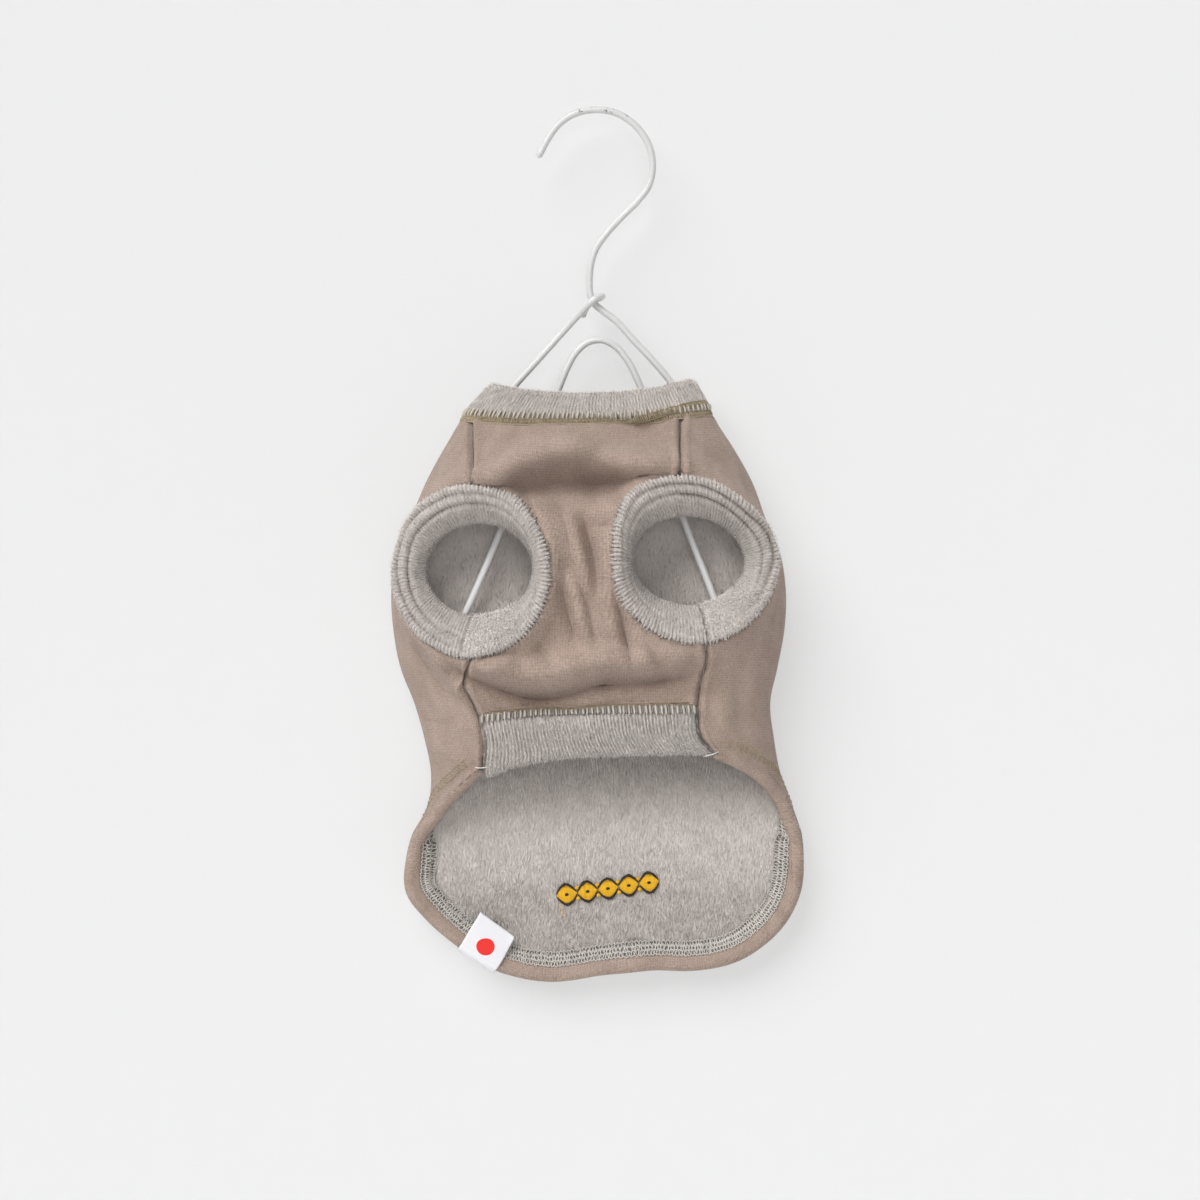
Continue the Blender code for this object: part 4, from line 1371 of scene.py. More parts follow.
@dataclass(frozen=True)
class Panel:
    """A knit panel: its face outside, brushed fleece inside, drawn in along its seams."""

    form: VestForm
    rows: Rows
    across: int
    side: Seam = Seam(1.7, 0.8, 0.8)
    neck: Seam = Seam(1.0, 1.8, 0.45)
    ring_share: float = 0.3
    pucker: float = 0.16

    def side_strength(self, count: int) -> Array:
        """How far the side seam draws in, down the rows: less where a cuff covers it."""
        row = np.arange(count)
        arc = (row > self.rows.above) & (row < self.rows.above + self.rows.arc)
        return np.where(arc, self.ring_share, 1.0)

    def relief(self, middle: Array) -> Array:
        """Lift of the outer face from its side seams and its neck seam.

        Args:
            middle: the panel's grid of points.

        Returns:
            A lift for each point.
        """
        across, down = run_lengths(middle, axis=0), run_lengths(middle, axis=1)
        strength = self.side_strength(middle.shape[1])
        lift = strength * self.side.lift(across, down, 3)
        lift += strength * self.side.lift(across[-1] - across, down, 5)
        lift += self.neck.lift(down, across, 7)
        return lift + self.pucker * wander(across, 4.6, 8) * bell(down - 3.0, 4.5)


@dataclass(frozen=True)
class ChestPanel(Panel):
    """The belly side's panel, from the neck seam down to the belly band's seam."""

    rows: Rows = Rows(14, 84, 22, 1)
    across: int = 110
    belly: Seam = Seam(0.9, 1.5, 0.5)
    flat: Pair = (0.112, 0.134)
    cut_area: float = 0.0103

    def build(self, finishes: Finishes) -> Object:
        """Makes the panel.

        Args:
            finishes: the materials.

        Returns:
            The piece.
        """
        form = self.form
        turn, height = form.chest_grid(self.rows, crowded(self.across, 0.6))
        middle, normal = form.surface(turn, height), form.normal(turn, height)
        across, down = run_lengths(middle, axis=0), run_lengths(middle, axis=1)
        up = down[:, -1:] - down
        lift = self.relief(middle) + self.belly.lift(up, across, 11)
        lift += self.pucker * wander(across, 5.5, 12) * bell(up - 3.5, 5)
        outer = middle + (form.wall / 2 + lift)[..., None] * normal
        points, skins = shell_mesh(outer, middle - form.wall / 2 * normal)
        uv = cloth_uv(turn % (2 * math.pi), height).reshape(-1, 2)
        return one_mesh("chest_cloth", (finishes.knit, finishes.fleece), points, skins,
                        np.tile(uv, (2, 1)))


@dataclass(frozen=True)
class BackPanel(Panel):
    """The back, with its hem turned to the inside and pressed flat under its stitches."""

    rows: Rows = Rows(12, 76, 20, 30)
    across: int = 190
    fold_steps: int = 10
    turn_steps: int = 10
    pressed: float = 0.8
    flat: Pair = (0.36, 0.265)
    cut_area: float = 0.0600

    def turned(self, distance: Number) -> tuple[Number, Number]:
        """Offset of the turned layer's middle, and half its wall, at a distance from the fold."""
        share = fade((np.asarray(distance, float) - 2.5) / 4)
        half = self.form.wall / 2
        low = -(half + 0.15 + self.pressed)
        offset = -2 * self.form.hem_bend * (1 - share) + low * share
        return offset, half * (1 - share) + self.pressed * share

    def build(self, finishes: Finishes) -> Object:
        """Makes the panel: body rows, the fold's half circle, then the turned edge.

        Args:
            finishes: the materials.

        Returns:
            The piece.
        """
        form = self.form
        turn, height = form.back_grid(self.rows, crowded(self.across, 0.6))
        middle, normal = form.surface(turn, height), form.normal(turn, height)
        across, down = run_lengths(middle, axis=0), run_lengths(middle, axis=1)
        up = down[:, -1:] - down
        lift = self.relief(middle) - 0.45 * bell(up - 5.9, 2.0)
        lift += 0.22 * wander(across, 7.5, 15) * bell(up - 5, 5)
        half = form.wall / 2
        outer, inner = [middle + (half + lift)[..., None] * normal], [middle - half * normal]
        hem_turn, hem_height = turn[:, -1], height[:, -1]
        face, out = form.hem_frame(hem_turn, hem_height)
        uv = [cloth_uv(turn, height)]

        def add(place: Array, side: Array, reach: Number, distance: float) -> None:
            """Adds a row round the hem: its middle, its outer side, half its wall, the way past."""
            outer.append((place + np.asarray(reach) * side)[:, None])
            inner.append((place - np.asarray(reach) * side)[:, None])
            uv.append(cloth_uv(hem_turn, hem_height - distance)[:, None])

        for step in range(1, self.fold_steps + 1):
            angle = math.pi * step / self.fold_steps
            bend = form.hem_bend * (math.sin(angle) * out - (1 - math.cos(angle)) * face)
            side = math.cos(angle) * face + math.sin(angle) * out
            add(middle[:, -1] + bend, side, half, form.hem_bend * angle)
        for step in range(1, self.turn_steps + 1):
            distance = form.hem_turn * step / self.turn_steps
            place = form.walk(hem_turn, hem_height, -out, np.full(len(hem_turn), distance))
            leaf_face = form.normal(*place)
            offset, reach = self.turned(distance)
            add(form.surface(*place) + offset * leaf_face, -leaf_face, reach,
                math.pi * form.hem_bend + distance)
        points, skins = shell_mesh(np.concatenate(outer, axis=1), np.concatenate(inner, axis=1))
        places = np.tile(np.concatenate(uv, axis=1).reshape(-1, 2), (2, 1))
        level = 10 * places[:, 1]
        # painted light and shade on the lining's fleece face: painted shadow under the belly band,
        # painted light across the flap and behind the leg holes
        tone = lining_painted_light(level) + 0.5 * hole_painted_light(level)
        return one_mesh("back_cloth", (finishes.knit, finishes.fleece), points, skins, places, tone)


@dataclass(frozen=True)
class LiningPile:
    """Hairs on the inside of the back, brushed down, thickest where the lining shows."""

    form: VestForm
    count: int = 48000
    pile: Pile = Pile(length=2.8, width=0.3, stand=0.1, stray=0.05, mottle=0.09)
    from_hem: float = 11.9
    lock_pitch: float = 1.3

    def build(self, finishes: Finishes) -> Object:
        """Makes the hairs.

        Args:
            finishes: the materials.

        Returns:
            The piece.
        """
        form, dice = self.form, np.random.default_rng(31)
        turn, height = form.back_grid(Rows(10, 60, 16, 20), np.linspace(0, 1, 141))
        normal = form.normal(turn, height)
        inside = form.surface(turn, height) - form.wall / 2 * normal
        down = run_lengths(inside, axis=1)
        across = run_lengths(inside, axis=0)
        clear = fade((down[:, -1:] - down - self.from_hem) / 3)
        clear *= fade(across / 8) * fade((across[-1] - across) / 8) * fade(down / 6)
        behind = fade((np.cos(turn) + 0.35) / 0.3)
        flap = fade((-250 - height) / 10)
        holes = bell(abs(inside[..., 0] + 6) - 48, 34) * bell(height + 200, 42)
        keep = clear * (0.04 + behind * np.maximum(flap, 0.8 * holes))
        column, row = scatter(inside, self.count, dice, keep)
        roots, face = read_grid(inside, column, row), -unit(read_grid(normal, column, row))
        swirl = read_grid(cloth_uv(turn, height), column, row)
        lock = 2 * math.pi * (roots[:, 0] / self.lock_pitch + 0.8 * wander(roots[:, 2], 15, 39)
                              + 0.5 * wander(roots[:, 2] + roots[:, 0], 24, 40))
        roots[:, 0] -= 0.15 * self.lock_pitch * np.sin(lock)
        flow = np.zeros_like(roots)
        flow[:, 0] = 0.22 * wander(swirl[:, 0] + 0.5 * swirl[:, 1], 2.6, 33)
        flow[:, 0] += 0.15 * wander(swirl[:, 1] - 0.7 * swirl[:, 0], 1.1, 34)
        flow[:, 2] = -1
        flow -= face * (flow * face).sum(axis=1, keepdims=True)
        at = read_grid(height[..., None], column, row)[:, 0]
        # painted light and shade on the lining's hairs, as on its cloth
        tone = lining_painted_light(at) + 0.16 * np.cos(lock)
        tone += 0.1 * wander(swirl[:, 0] + swirl[:, 1], 1.7, 37)
        # painted light on the hairs behind the leg holes, spread at random
        tone += hole_painted_light(at) * (0.46 + 0.55 * dice.normal(size=self.count))
        batch = Batch()
        self.pile.grow(batch, roots, face, unit(flow), dice, tone)
        return batch.piece("lining_pile", (finishes.hair,))


def loft_mesh(loops: Array, closed: bool) -> tuple[Array, Skins]:
    """A closed form over section loops, (sections, points, 3), its own ends capped if open."""
    sections, steps = loops.shape[:2]
    skins = [(grid_quads(sections, steps, wrap_columns=closed, wrap_rows=True), 0)]
    if not closed:
        first = np.arange(steps)[None]
        skins += [(first[:, ::-1], 0), (first + (sections - 1) * steps, 0)]
    return loops.reshape(-1, 3), skins


@dataclass(frozen=True)
class Strip:
    """A fleece strip folded double: ribbed pile outside, a round free edge, and hairs all over."""

    form: VestForm
    rib_pitch: float = 1.5
    rib_depth: float = 0.3
    rib_painted_light: float = 0.16
    rib_shade: float = 0.2
    steps: int = 9
    nose: int = 6
    swell: float = 0.35

    def wave(self, along: Array, share: Number) -> Array:
        """The ribs, 1 on a crest and -1 between two: a cosine that wavers from edge to edge."""
        drift = 0.5 * wander(along, 31, 41) + 0.35 * wander(along * 0.15 + share * 9, 9, 42)
        return np.cos(2 * math.pi * along / self.rib_pitch + drift)

    def loops(self, turn: Array, height: Array, extra: Array | None = None) -> Array:
        """Section loops: down the outer face, half round the free edge, and back inside.

        Args:
            turn: turn angles of the strip's middle.
            height: its heights.
            extra: what is added to its lift.

        Returns:
            (sections, points, 3).
        """
        form, half = self.form, self.form.trim_wall / 2
        middle, normal = form.surface(turn, height), form.normal(turn, height)
        share = np.linspace(0, 1, turn.shape[1])[None]
        along = np.broadcast_to(run_lengths(middle, axis=0), turn.shape)
        crest = self.rib_depth * (1 + 0.4 * wander(along[:, :1], 6, 43))
        lift = crest * self.wave(along[:, :1], share) + self.swell * np.sin(math.pi * share**0.8)
        if extra is not None:
            lift = lift + extra
        outer = middle + (half + lift)[..., None] * normal
        inner = middle - (half + 0.5 * lift)[..., None] * normal
        ahead = unit(middle[:, -1] - middle[:, -2])[:, None]
        angle = np.linspace(0, math.pi, self.nose)[None, :, None]
        reach = half + lift[:, -1][:, None, None]
        tip = middle[:, -1:] + reach * (np.sin(angle) * ahead + np.cos(angle) * normal[:, -1:])
        return np.concatenate([outer[:, :-1], tip, inner[:, -2::-1]], axis=1)

    def round_edge(self, values: Array) -> Array:
        """Values for the loops from those down the strip, the edge's own all round the nose."""
        edge = np.repeat(values[:, -1:], self.nose, axis=1)
        return np.concatenate([values[:, :-1], edge, values[:, -2::-1]], axis=1)

    def dress(self, name: str, finishes: Finishes, turn: Array, height: Array, loops: Array,
              closed: bool, plan: Sequence, shade: Number = 0.0, keep: Number = 1.0
              ) -> tuple[Object, Object]:
        """Makes the strip's cloth, with painted shade between its ribs and painted light on them, and
        its hairs.

        Args:
            name: what both pieces' names start with.
            finishes: the materials.
            turn: turn angles of the strip's middle.
            height: heights of the strip's middle.
            loops: the section loops.
            closed: whether the last section joins the first.
            plan: the rows of hairs.
            shade: painted shade added to each section's tone.
            keep: how thickly each section is covered with hairs.

        Returns:
            The two pieces.
        """
        length = run_lengths(self.form.surface(turn, height))
        wave = self.wave(length, np.linspace(0, 1, self.steps)[None])
        # painted shade between the ribs and painted light on them, plus any painted shade the caller
        # adds
        tone = 0.5 + self.rib_shade * self.round_edge(wave) + shade
        uv = cloth_uv(np.broadcast_to(turn[:, :1], loops.shape[:2]), self.round_edge(height))
        cloth = one_mesh(name + "_cloth", (finishes.fleece,), *loft_mesh(loops, closed), uv, tone)
        batch = Batch()
        self.hairs(batch, loops, closed, plan, self.wave(length[:, 0], 0.5), keep)
        return cloth, batch.piece(name + "_pile", (finishes.hair,))

    def hairs(self, batch: Batch, loops: Array, closed: bool, plan: Sequence, wave: Array,
              keep: Number = 1.0) -> None:
        """Adds hairs over the loops, thicker on the ribs and lighter there as painted light.

        Args:
            batch: what they are added to.
            loops: the section loops.
            closed: whether the last section joins the first.
            plan: (first row, last row, count, pile, way along the rows, tone, seed) rows.
            wave: the ribs at each section.
            keep: how thickly each section is covered.
        """
        normals = grid_normals(loops, closed)
        inward = ((loops.mean(axis=1, keepdims=True) - loops) * normals).sum() > 0
        normals = -normals if inward else normals
        by_row = unit(np.gradient(loops, axis=1))
        for first, last, count, pile, way, tone, seed in plan:
            dice = np.random.default_rng(seed)
            part = loops[:, first:last]
            thick = (keep * (0.55 + 0.45 * wave))[:, None] * np.ones(last - first)
            column, row = scatter(part, count, dice, thick)
            roots = read_grid(part, column, row)
            face = unit(read_grid(normals[:, first:last], column, row))
            flow = way * unit(read_grid(by_row[:, first:last], column, row))
            crest = np.interp(column, np.arange(len(wave)), wave)
            # painted light on hairs over the ribs, painted shade on those between
            pile.grow(batch, roots, face, flow, dice, tone + self.rib_painted_light * crest)


@dataclass(frozen=True)
class Neckband(Strip):
    """The strip that stands on the neck seam all round, joined near the right shoulder."""

    around: int = 560
    join_x: float = 31.0
    join_slant: float = 4.5
    flat: Pair = (0.232, 0.0195)

    def grid(self) -> Arrays:
        """Turn angles evenly spaced round the neck, and heights up the strip."""
        form = self.form
        dense, length = form.neck_run()
        even = np.arange(self.around) / self.around * length[-1]
        turn = np.interp(even, length, dense)
        low = form.neck_line(form.neck_seam, turn) - 0.5
        top = form.neck_line(form.neck_top, turn) - form.trim_wall / 2
        height = low[:, None] + np.linspace(0, 1, self.steps) * (top - low)[:, None]
        return np.repeat(turn[:, None], self.steps, axis=1), height

    def build(self, finishes: Finishes) -> tuple[Object, Object]:
        """Makes the strip and its hairs.

        Args:
            finishes: the materials.

        Returns:
            The cloth and the hairs.
        """
        turn, height = self.grid()
        share = np.linspace(0, 1, self.steps)[None]
        x = self.form.surface(turn, height)[..., 0]
        beyond = x - self.join_x + self.join_slant * (share - 0.4)
        lap = 0.35 * fade((beyond + 1.5) / 2) * fade((20 - beyond) / 12) - 0.8 * bell(beyond, 0.7)
        loops = self.loops(turn, height, np.where(np.cos(turn) < 0, lap, 0))
        short = Pile(length=1.3, width=0.28, stand=0.28, stray=0.12)
        fuzzy = Pile(length=1.5, width=0.3, stand=0.9, stray=0.4)
        edge = self.steps - 1
        plan = ((1, edge + 1, 10500, short, 1, 0.5, 51),
                (edge - 1, edge + self.nose + 1, 4200, fuzzy, 0.4, 0.75, 52),
                (edge + self.nose, loops.shape[1], 1600, short, -1, 0.45, 53))
        return self.dress("neckband", finishes, turn, height, loops, True, plan)


@dataclass(frozen=True)
class BellyBand(Strip):
    """The strip below the chest, folded along its lower edge, its ends inside the side seams."""

    across: int = 268
    inset: float = 0.3
    rib_pitch: float = 1.55
    flat: Pair = (0.103, 0.0285)

    def grid(self) -> Arrays:
        """Turn angles and heights, from the seam down to the free edge."""
        form, rows = self.form, Rows(10, 40, 20, 24)
        left, right = form.side_edges(rows, medial=False)
        seam = rows.above + rows.arc + rows.below
        share = np.linspace(0, 1, self.across + 1)[:, None]
        sewn = left[seam] + share * (right[seam] - left[seam])
        free_x = left[-1, 0] + share[:, 0] * (right[-1, 0] - left[-1, 0])
        table = np.array(BELLY_EDGE, float)
        free_z = through(table[:, 0], table[:, 1], free_x) + form.trim_wall / 2
        steps = np.linspace(0, 1, self.steps)
        height = sewn[:, 1:] + 0.3 + steps * (free_z - sewn[:, 1] - 0.3)[:, None]
        inset = form.seam_gap * 1.5 + self.inset * steps
        low, high = (np.interp(-height, -edge[seam - 8:, 1], edge[seam - 8:, 0])
                     for edge in (left, right))
        x = low + inset + share * (high - low - 2 * inset)
        return form.front_turn(x, height), height

    def build(self, finishes: Finishes) -> tuple[Object, Object]:
        """Makes the strip and its hairs.

        Args:
            finishes: the materials.

        Returns:
            The cloth and the hairs.
        """
        turn, height = self.grid()
        place = np.arange(self.across + 1)
        crease = bell(np.minimum(place, self.across - place) * 0.39, 1.5)
        loops = self.loops(turn, height, -1.9 * crease[:, None] * np.ones(self.steps))
        short = Pile(length=1.9, width=0.28, stand=0.2, stray=0.08)
        fuzzy = Pile(length=1.5, width=0.3, stand=0.8, stray=0.3)
        edge = self.steps - 1
        plan = ((1, edge + 1, 9000, short, 1, 0.55, 61),
                (edge - 1, edge + self.nose + 1, 2400, fuzzy, 0.4, 0.65, 62),
                (edge + self.nose, loops.shape[1], 900, short, -1, 0.4, 63))
        # the ends' crease is darkened as painted shade, and has fewer hairs
        return self.dress("belly_band", finishes, turn, height, loops, False, plan,
                          -0.6 * crease[:, None], 1 - 0.95 * crease)


class CuffRow(NamedTuple):
    """One line round a cuff: millimetres out past the rim, ring position, lift, and how much of
    the groove and of the ribs it has."""

    out: float
    at: float
    lift: float = 0.0
    groove: float = 0.0
    ribbed: float = 0.13


@dataclass(frozen=True)
class CuffPlan:
    """What differs between the two cuffs, angles in degrees."""

    name: str
    ring: Ring
    join: float
    grooves_at: float
    grooves_spread: float
    tufts_at: float
    seed: int


@dataclass(frozen=True)
class LegCuff(Strip):
    """A leg cuff: a flange of tufts on the knit, a rolled crest, two grooves, and a funnel."""

    plan: CuffPlan | None = None
    ribs_round: int = 126
    samples: int = 4
    hair_count: int = 12500
    tuft_reach: float = 2.0
    round_cm: float = 3.6
    rib_painted_light: float = 0.09
    flat: Pair = (0.222, 0.024)
    profile: tuple[CuffRow, ...] = (
        CuffRow(0.4, 0, 1.6, 0, 0), CuffRow(1.1, 0, 2.0, 0, 0), CuffRow(1.1, 0, 2.8, 0, 0.4),
        CuffRow(0.5, 0, 3.6, 0, 0.4), CuffRow(0, 0.01, 4.1, 0, 0.3),
        CuffRow(0, 0.05, 4.1, 0.1, 0.2), CuffRow(0, 0.095, 3.8, 1), CuffRow(0, 0.125, 3.7, 0.5),
        CuffRow(0, 0.17, 3.8), CuffRow(0, 0.23, 3.9), CuffRow(0, 0.28, 3.7, 0.1),
        CuffRow(0, 0.32, 3.4, 1), CuffRow(0, 0.35, 3.3, 0.5), CuffRow(0, 0.4, 3.6),
        CuffRow(0, 0.5, 3.4), CuffRow(0, 0.6, 3.1), CuffRow(0, 0.7, 2.8), CuffRow(0, 0.78, 2.6),
    )

    def place(self, angle: Array, row: CuffRow, scale: Array) -> Arrays:
        """Middle of the cloth and its normal along one line of the profile."""
        x, z = self.form.ring_point(self.plan.ring, row.at - row.out / scale, angle)
        turn = self.form.front_turn(x, z)
        return self.form.surface(turn, z), self.form.normal(turn, z)

    def wrapped(self, angle: Array, degrees: float) -> Array:
        """The angle past a direction, between a half turn back and a half turn on, in degrees."""
        return (np.degrees(angle) - degrees + 180) % 360 - 180

    def sections(self, angle: Array) -> Arrays:
        """Section loops round the ring, (angles, points, 3), and how light each point is.

        Args:
            angle: the sections' angles.

        Returns:
            The loops, from the flange's underside, and the tones.
        """
        plan, half = self.plan, 2.6
        ends = [self.form.ring_point(plan.ring, at, angle) for at in (0.0, 1.0)]
        rim, hole = (self.form.surface(self.form.front_turn(x, z), z) for x, z in ends)
        scale = np.linalg.norm(hole - rim, axis=1)
        near = self.wrapped(angle, plan.grooves_at)
        depth = 0.1 + 1.1 * bell(near, plan.grooves_spread)
        past = self.wrapped(angle, plan.join)
        flatter = 1 - fade((past + 1) / 3) * fade((62 - past) / 30)
        depth = depth * flatter
        seam = -2.4 * bell(past * 0.58, 0.9)
        lapped = 0.9 * fade((past + 0.5) / 2.5) * fade((44 - past) / 30)
        rib = np.cos(self.ribs_round * angle) * (1 + 0.35 * wander(angle * 36, 7, plan.seed + 1))
        uneven = 0.22 * wander(angle * 36, 23, plan.seed + 2)
        outer, tone = [], []
        for index, row in enumerate(self.profile):
            middle, face = self.place(angle, row, scale)
            lift = row.lift + uneven * (index > 1) + row.ribbed * rib * (0.5 + 0.5 * flatter)
            lift = lift - depth * row.groove * 1.15 + (seam + lapped) * (index > 2)
            outer.append(middle + lift[:, None] * face)
            # painted light on the rib crests, painted shade between them and in the grooves
            tone.append(0.5 + 0.65 * row.ribbed * rib - 0.36 * depth * row.groove + 0.3 * lapped)
        beyond = self.place(angle, CuffRow(0, 0.9), scale)[0] - middle
        ahead = unit(beyond - face * (beyond * face).sum(axis=1, keepdims=True))
        wide = half + 0.25 * rib + 0.5 * uneven
        nose = [middle + wide[:, None] * (math.sin(b) * ahead + math.cos(b) * face)
                for b in np.linspace(0, math.pi, self.nose + 2)[1:-1]]
        inner = []
        for at in (0.78, 0.56, 0.34, 0.12):
            under, back = self.place(angle, CuffRow(0, at), scale)
            inner.append(under - half * back)
        tone += [tone[-1]] * (len(nose) + len(inner))
        return np.stack(outer + nose + inner, axis=1), np.stack(tone, axis=1)

    def tufts(self, batch: Batch, loops: Array, angle: Array) -> None:
        """Adds the flange's tufts: hairs on each rib that draw together to one tip past its edge.

        Args:
            batch: what they are added to.
            loops: the section loops.
            angle: the sections' angles.
        """
        plan, dice = self.plan, np.random.default_rng(10 * self.plan.seed + 7)
        each, columns = 15, len(angle)
        rib = np.repeat(np.arange(self.ribs_round), each)
        centre = (rib + dice.normal(size=self.ribs_round)[rib] * 0.1) * columns / self.ribs_round
        spread = dice.uniform(-0.27, 0.27, len(rib))
        column = (centre + spread * columns / self.ribs_round) % columns
        row = dice.uniform(1.2, 5.6, len(rib))
        closed = np.concatenate([loops, loops[:1]])
        roots = read_grid(closed, column, row)
        edge = read_grid(closed, centre % columns, np.full(len(rib), 1.0))
        inside = read_grid(closed, centre % columns, np.full(len(rib), 5.0))
        away = unit(edge - inside)
        gap = self.wrapped(angle[(centre % columns).astype(int)], plan.tufts_at)
        strong = 0.45 + 0.55 * bell(gap, 95)
        reach = self.tuft_reach * (0.3 + 0.8 * strong) * (1 + 0.18 * dice.normal(size=len(rib)))
        sway = dice.normal(size=(self.ribs_round, 3))[rib] * 0.35
        tips = edge + away * reach[:, None] + sway
        side = read_grid(closed, (centre + 1) % columns, np.full(len(rib), 1.0)) - edge
        tips += unit(side) * (spread * (1.15 - 0.9 * strong) * 1.7)[:, None]
        tips[:, 1] -= 0.25
        points, skins = spike_mesh(roots, tips, 0.36, dice)
        tone = 0.66 + 0.16 * dice.normal(size=len(rib))
        # painted shade at each tuft hair's root and painted light at its tip
        ends = tone[:, None] + np.array((-0.16, -0.16, -0.16, 0.3))
        batch.add(points, skins, tone=np.clip(ends, 0, 1).ravel())

    def build(self, finishes: Finishes) -> tuple[Object, Object]:
        """Makes the cuff's cloth and its hairs.

        Args:
            finishes: the materials.

        Returns:
            The cloth and the hairs.
        """
        plan, count = self.plan, self.ribs_round * self.samples
        angle = -math.pi + 2 * math.pi * np.arange(count) / count
        loops, tone = self.sections(angle)
        round_it = np.broadcast_to(angle[:, None] * self.round_cm, loops.shape[:2])
        uv = np.stack([round_it, run_lengths(loops, axis=1) / 10], axis=-1)
        cloth = one_mesh(plan.name + "_cloth", (finishes.fleece,), *loft_mesh(loops, True), uv, tone)
        batch = Batch()
        self.tufts(batch, loops, angle)
        past = self.wrapped(angle, plan.join)
        lapped = fade((past + 0.5) / 2) * fade((60 - past) / 25)
        short = Pile(length=1.4, width=0.26, stand=0.35, stray=0.22)
        rolled = Pile(length=1.6, width=0.3, stand=0.45, stray=0.24)
        long = Pile(length=1.9, width=0.36, stand=0.55, stray=0.35)
        lip, total = len(self.profile), self.hair_count
        everywhere = ((2, 6, int(total * 0.16), rolled, -1, 0.66, plan.seed + 11),
                      (8, 11, int(total * 0.16), short, -1, 0.56, plan.seed + 12),
                      (12, lip, int(total * 0.38), short, 1, 0.56, plan.seed + 13),
                      (lip - 2, lip + self.nose + 1, int(total * 0.18), short, 1, 0.45,
                       plan.seed + 14))
        at_join = ((3, lip + 2, int(total * 0.18), long, -0.5, 0.85, plan.seed + 15),)
        wave = np.append(np.cos(self.ribs_round * angle), 1.0)
        ring = np.concatenate([loops, loops[:1]])
        self.hairs(batch, ring, False, everywhere, wave)
        self.hairs(batch, ring, False, at_join, wave, np.append(lapped, lapped[0]))
        return cloth, batch.piece(plan.name + "_pile", (finishes.hair,))


@dataclass(frozen=True)
class Sewing:
    """Threads laid along a seam: place turns (along, across, lift) into points."""

    place: Lay
    batch: Batch
    dice: Dice
    slot: int = 0

    def other(self, slot: int) -> Sewing:
        """The same sewing with another of the piece's threads."""
        return replace(self, slot=slot)

    def lay(self, along: Array, across: Array, lift: Array, radius: float, tone: Number,
            sides: int = 5) -> None:
        """Adds one tube for each thread.

        Args:
            along: (threads, points) along the seam.
            across: the same, across it.
            lift: the same, off the cloth.
            radius: the thread's.
            tone: how light each thread is.
            sides: corners of each tube.
        """
        along, across, lift = np.broadcast_arrays(along, across, lift)
        paths = self.place(along, across, lift)
        upward = self.place(along, across, lift + 1.0) - paths
        step = np.linalg.norm(np.diff(paths, axis=1), axis=2).mean() / 10
        width = radius * capsule(along.shape[1])
        points, skins, uv = tube_mesh(paths, width, sides, upward, step)
        tones = np.repeat(np.broadcast_to(tone, len(paths)), along.shape[1] * sides)
        self.batch.add(points, [(faces, self.slot) for faces, _ in skins], uv, tones)

    def rungs(self, span: Pair, pitch: float, across: Pair, lift: Pair, bow: float, slant: float,
              radius: float, tone: float = 0.5, jitter: float = 0.12, points: int = 6) -> None:
        """Short threads across the seam, one each pitch.

        Args:
            span: where along the seam they start and end.
            pitch: from one to the next.
            across: where each starts and ends.
            lift: how high its start and its end are.
            bow: how far its middle arches above that.
            slant: how far its end leans along the seam.
            radius: the thread's.
            tone: how light they are.
            jitter: how uneven they are.
            points: points along each.
        """
        count = max(2, int((span[1] - span[0]) / pitch))
        start = span[0] + (np.arange(count)[:, None] + 0.5) * (span[1] - span[0]) / count
        chance = self.dice.normal(size=(4, count, 1)) * jitter
        t = np.linspace(0, 1, points)[None]
        along = start + pitch * chance[0] + slant * (t - 0.5) + 0.5 * pitch * chance[1] * t
        wide = across[0] + (across[1] - across[0]) * t + 1.5 * chance[2] * (t - 0.5)
        high = lift[0] + (lift[1] - lift[0]) * t + bow * np.sin(math.pi * t) * (1 + chance[3])
        shade = tone + 0.16 * self.dice.normal(size=count)
        self.lay(along, wide, high, radius, np.clip(shade, 0, 1))

    def line(self, span: Pair, across: float, lift: float, radius: float, step: float = 0.7,
             sway: float = 0.1, pitch: float = 1.5, tone: float = 0.5) -> None:
        """One long thread along the seam.

        Args:
            span: where it starts and ends.
            across: where it lies across the seam.
            lift: how high it lies.
            radius: the thread's.
            step: from one of its points to the next.
            sway: how far it sways to each side.
            pitch: the length of one sway.
            tone: how light it is.
        """
        count = max(4, int((span[1] - span[0]) / step))
        along = np.linspace(*span, count)[None]
        phase = 2 * math.pi * along / pitch
        wide = across + sway * np.sin(phase) + 0.12 * wander(along, 7, int(abs(across) * 10))
        self.lay(along, wide, lift + 0.6 * sway * np.cos(2 * phase), radius, tone)

    def dashes(self, span: Pair, across: float, lift: float, radius: float, stitch: float,
               gap: float, tone: float = 0.5) -> None:
        """Straight stitches in a row, their ends sunk in the cloth.

        Args:
            span: where the row starts and ends.
            across: where it lies across the seam.
            lift: how high the stitches lie.
            radius: the thread's.
            stitch: the length of one.
            gap: from one to the next.
            tone: how light they are.
        """
        count = int((span[1] - span[0]) / (stitch + gap))
        start = span[0] + np.arange(count)[:, None] * (span[1] - span[0]) / count
        t = np.linspace(0, 1, 6)[None]
        chance = self.dice.normal(size=(2, count, 1)) * 0.06
        high = lift - 3.2 * radius * (2 * t - 1) ** 6
        shade = tone + 0.12 * self.dice.normal(size=count)
        self.lay(start + stitch * t, across + chance[0] + chance[1] * t, high, radius,
                 np.clip(shade, 0, 1))


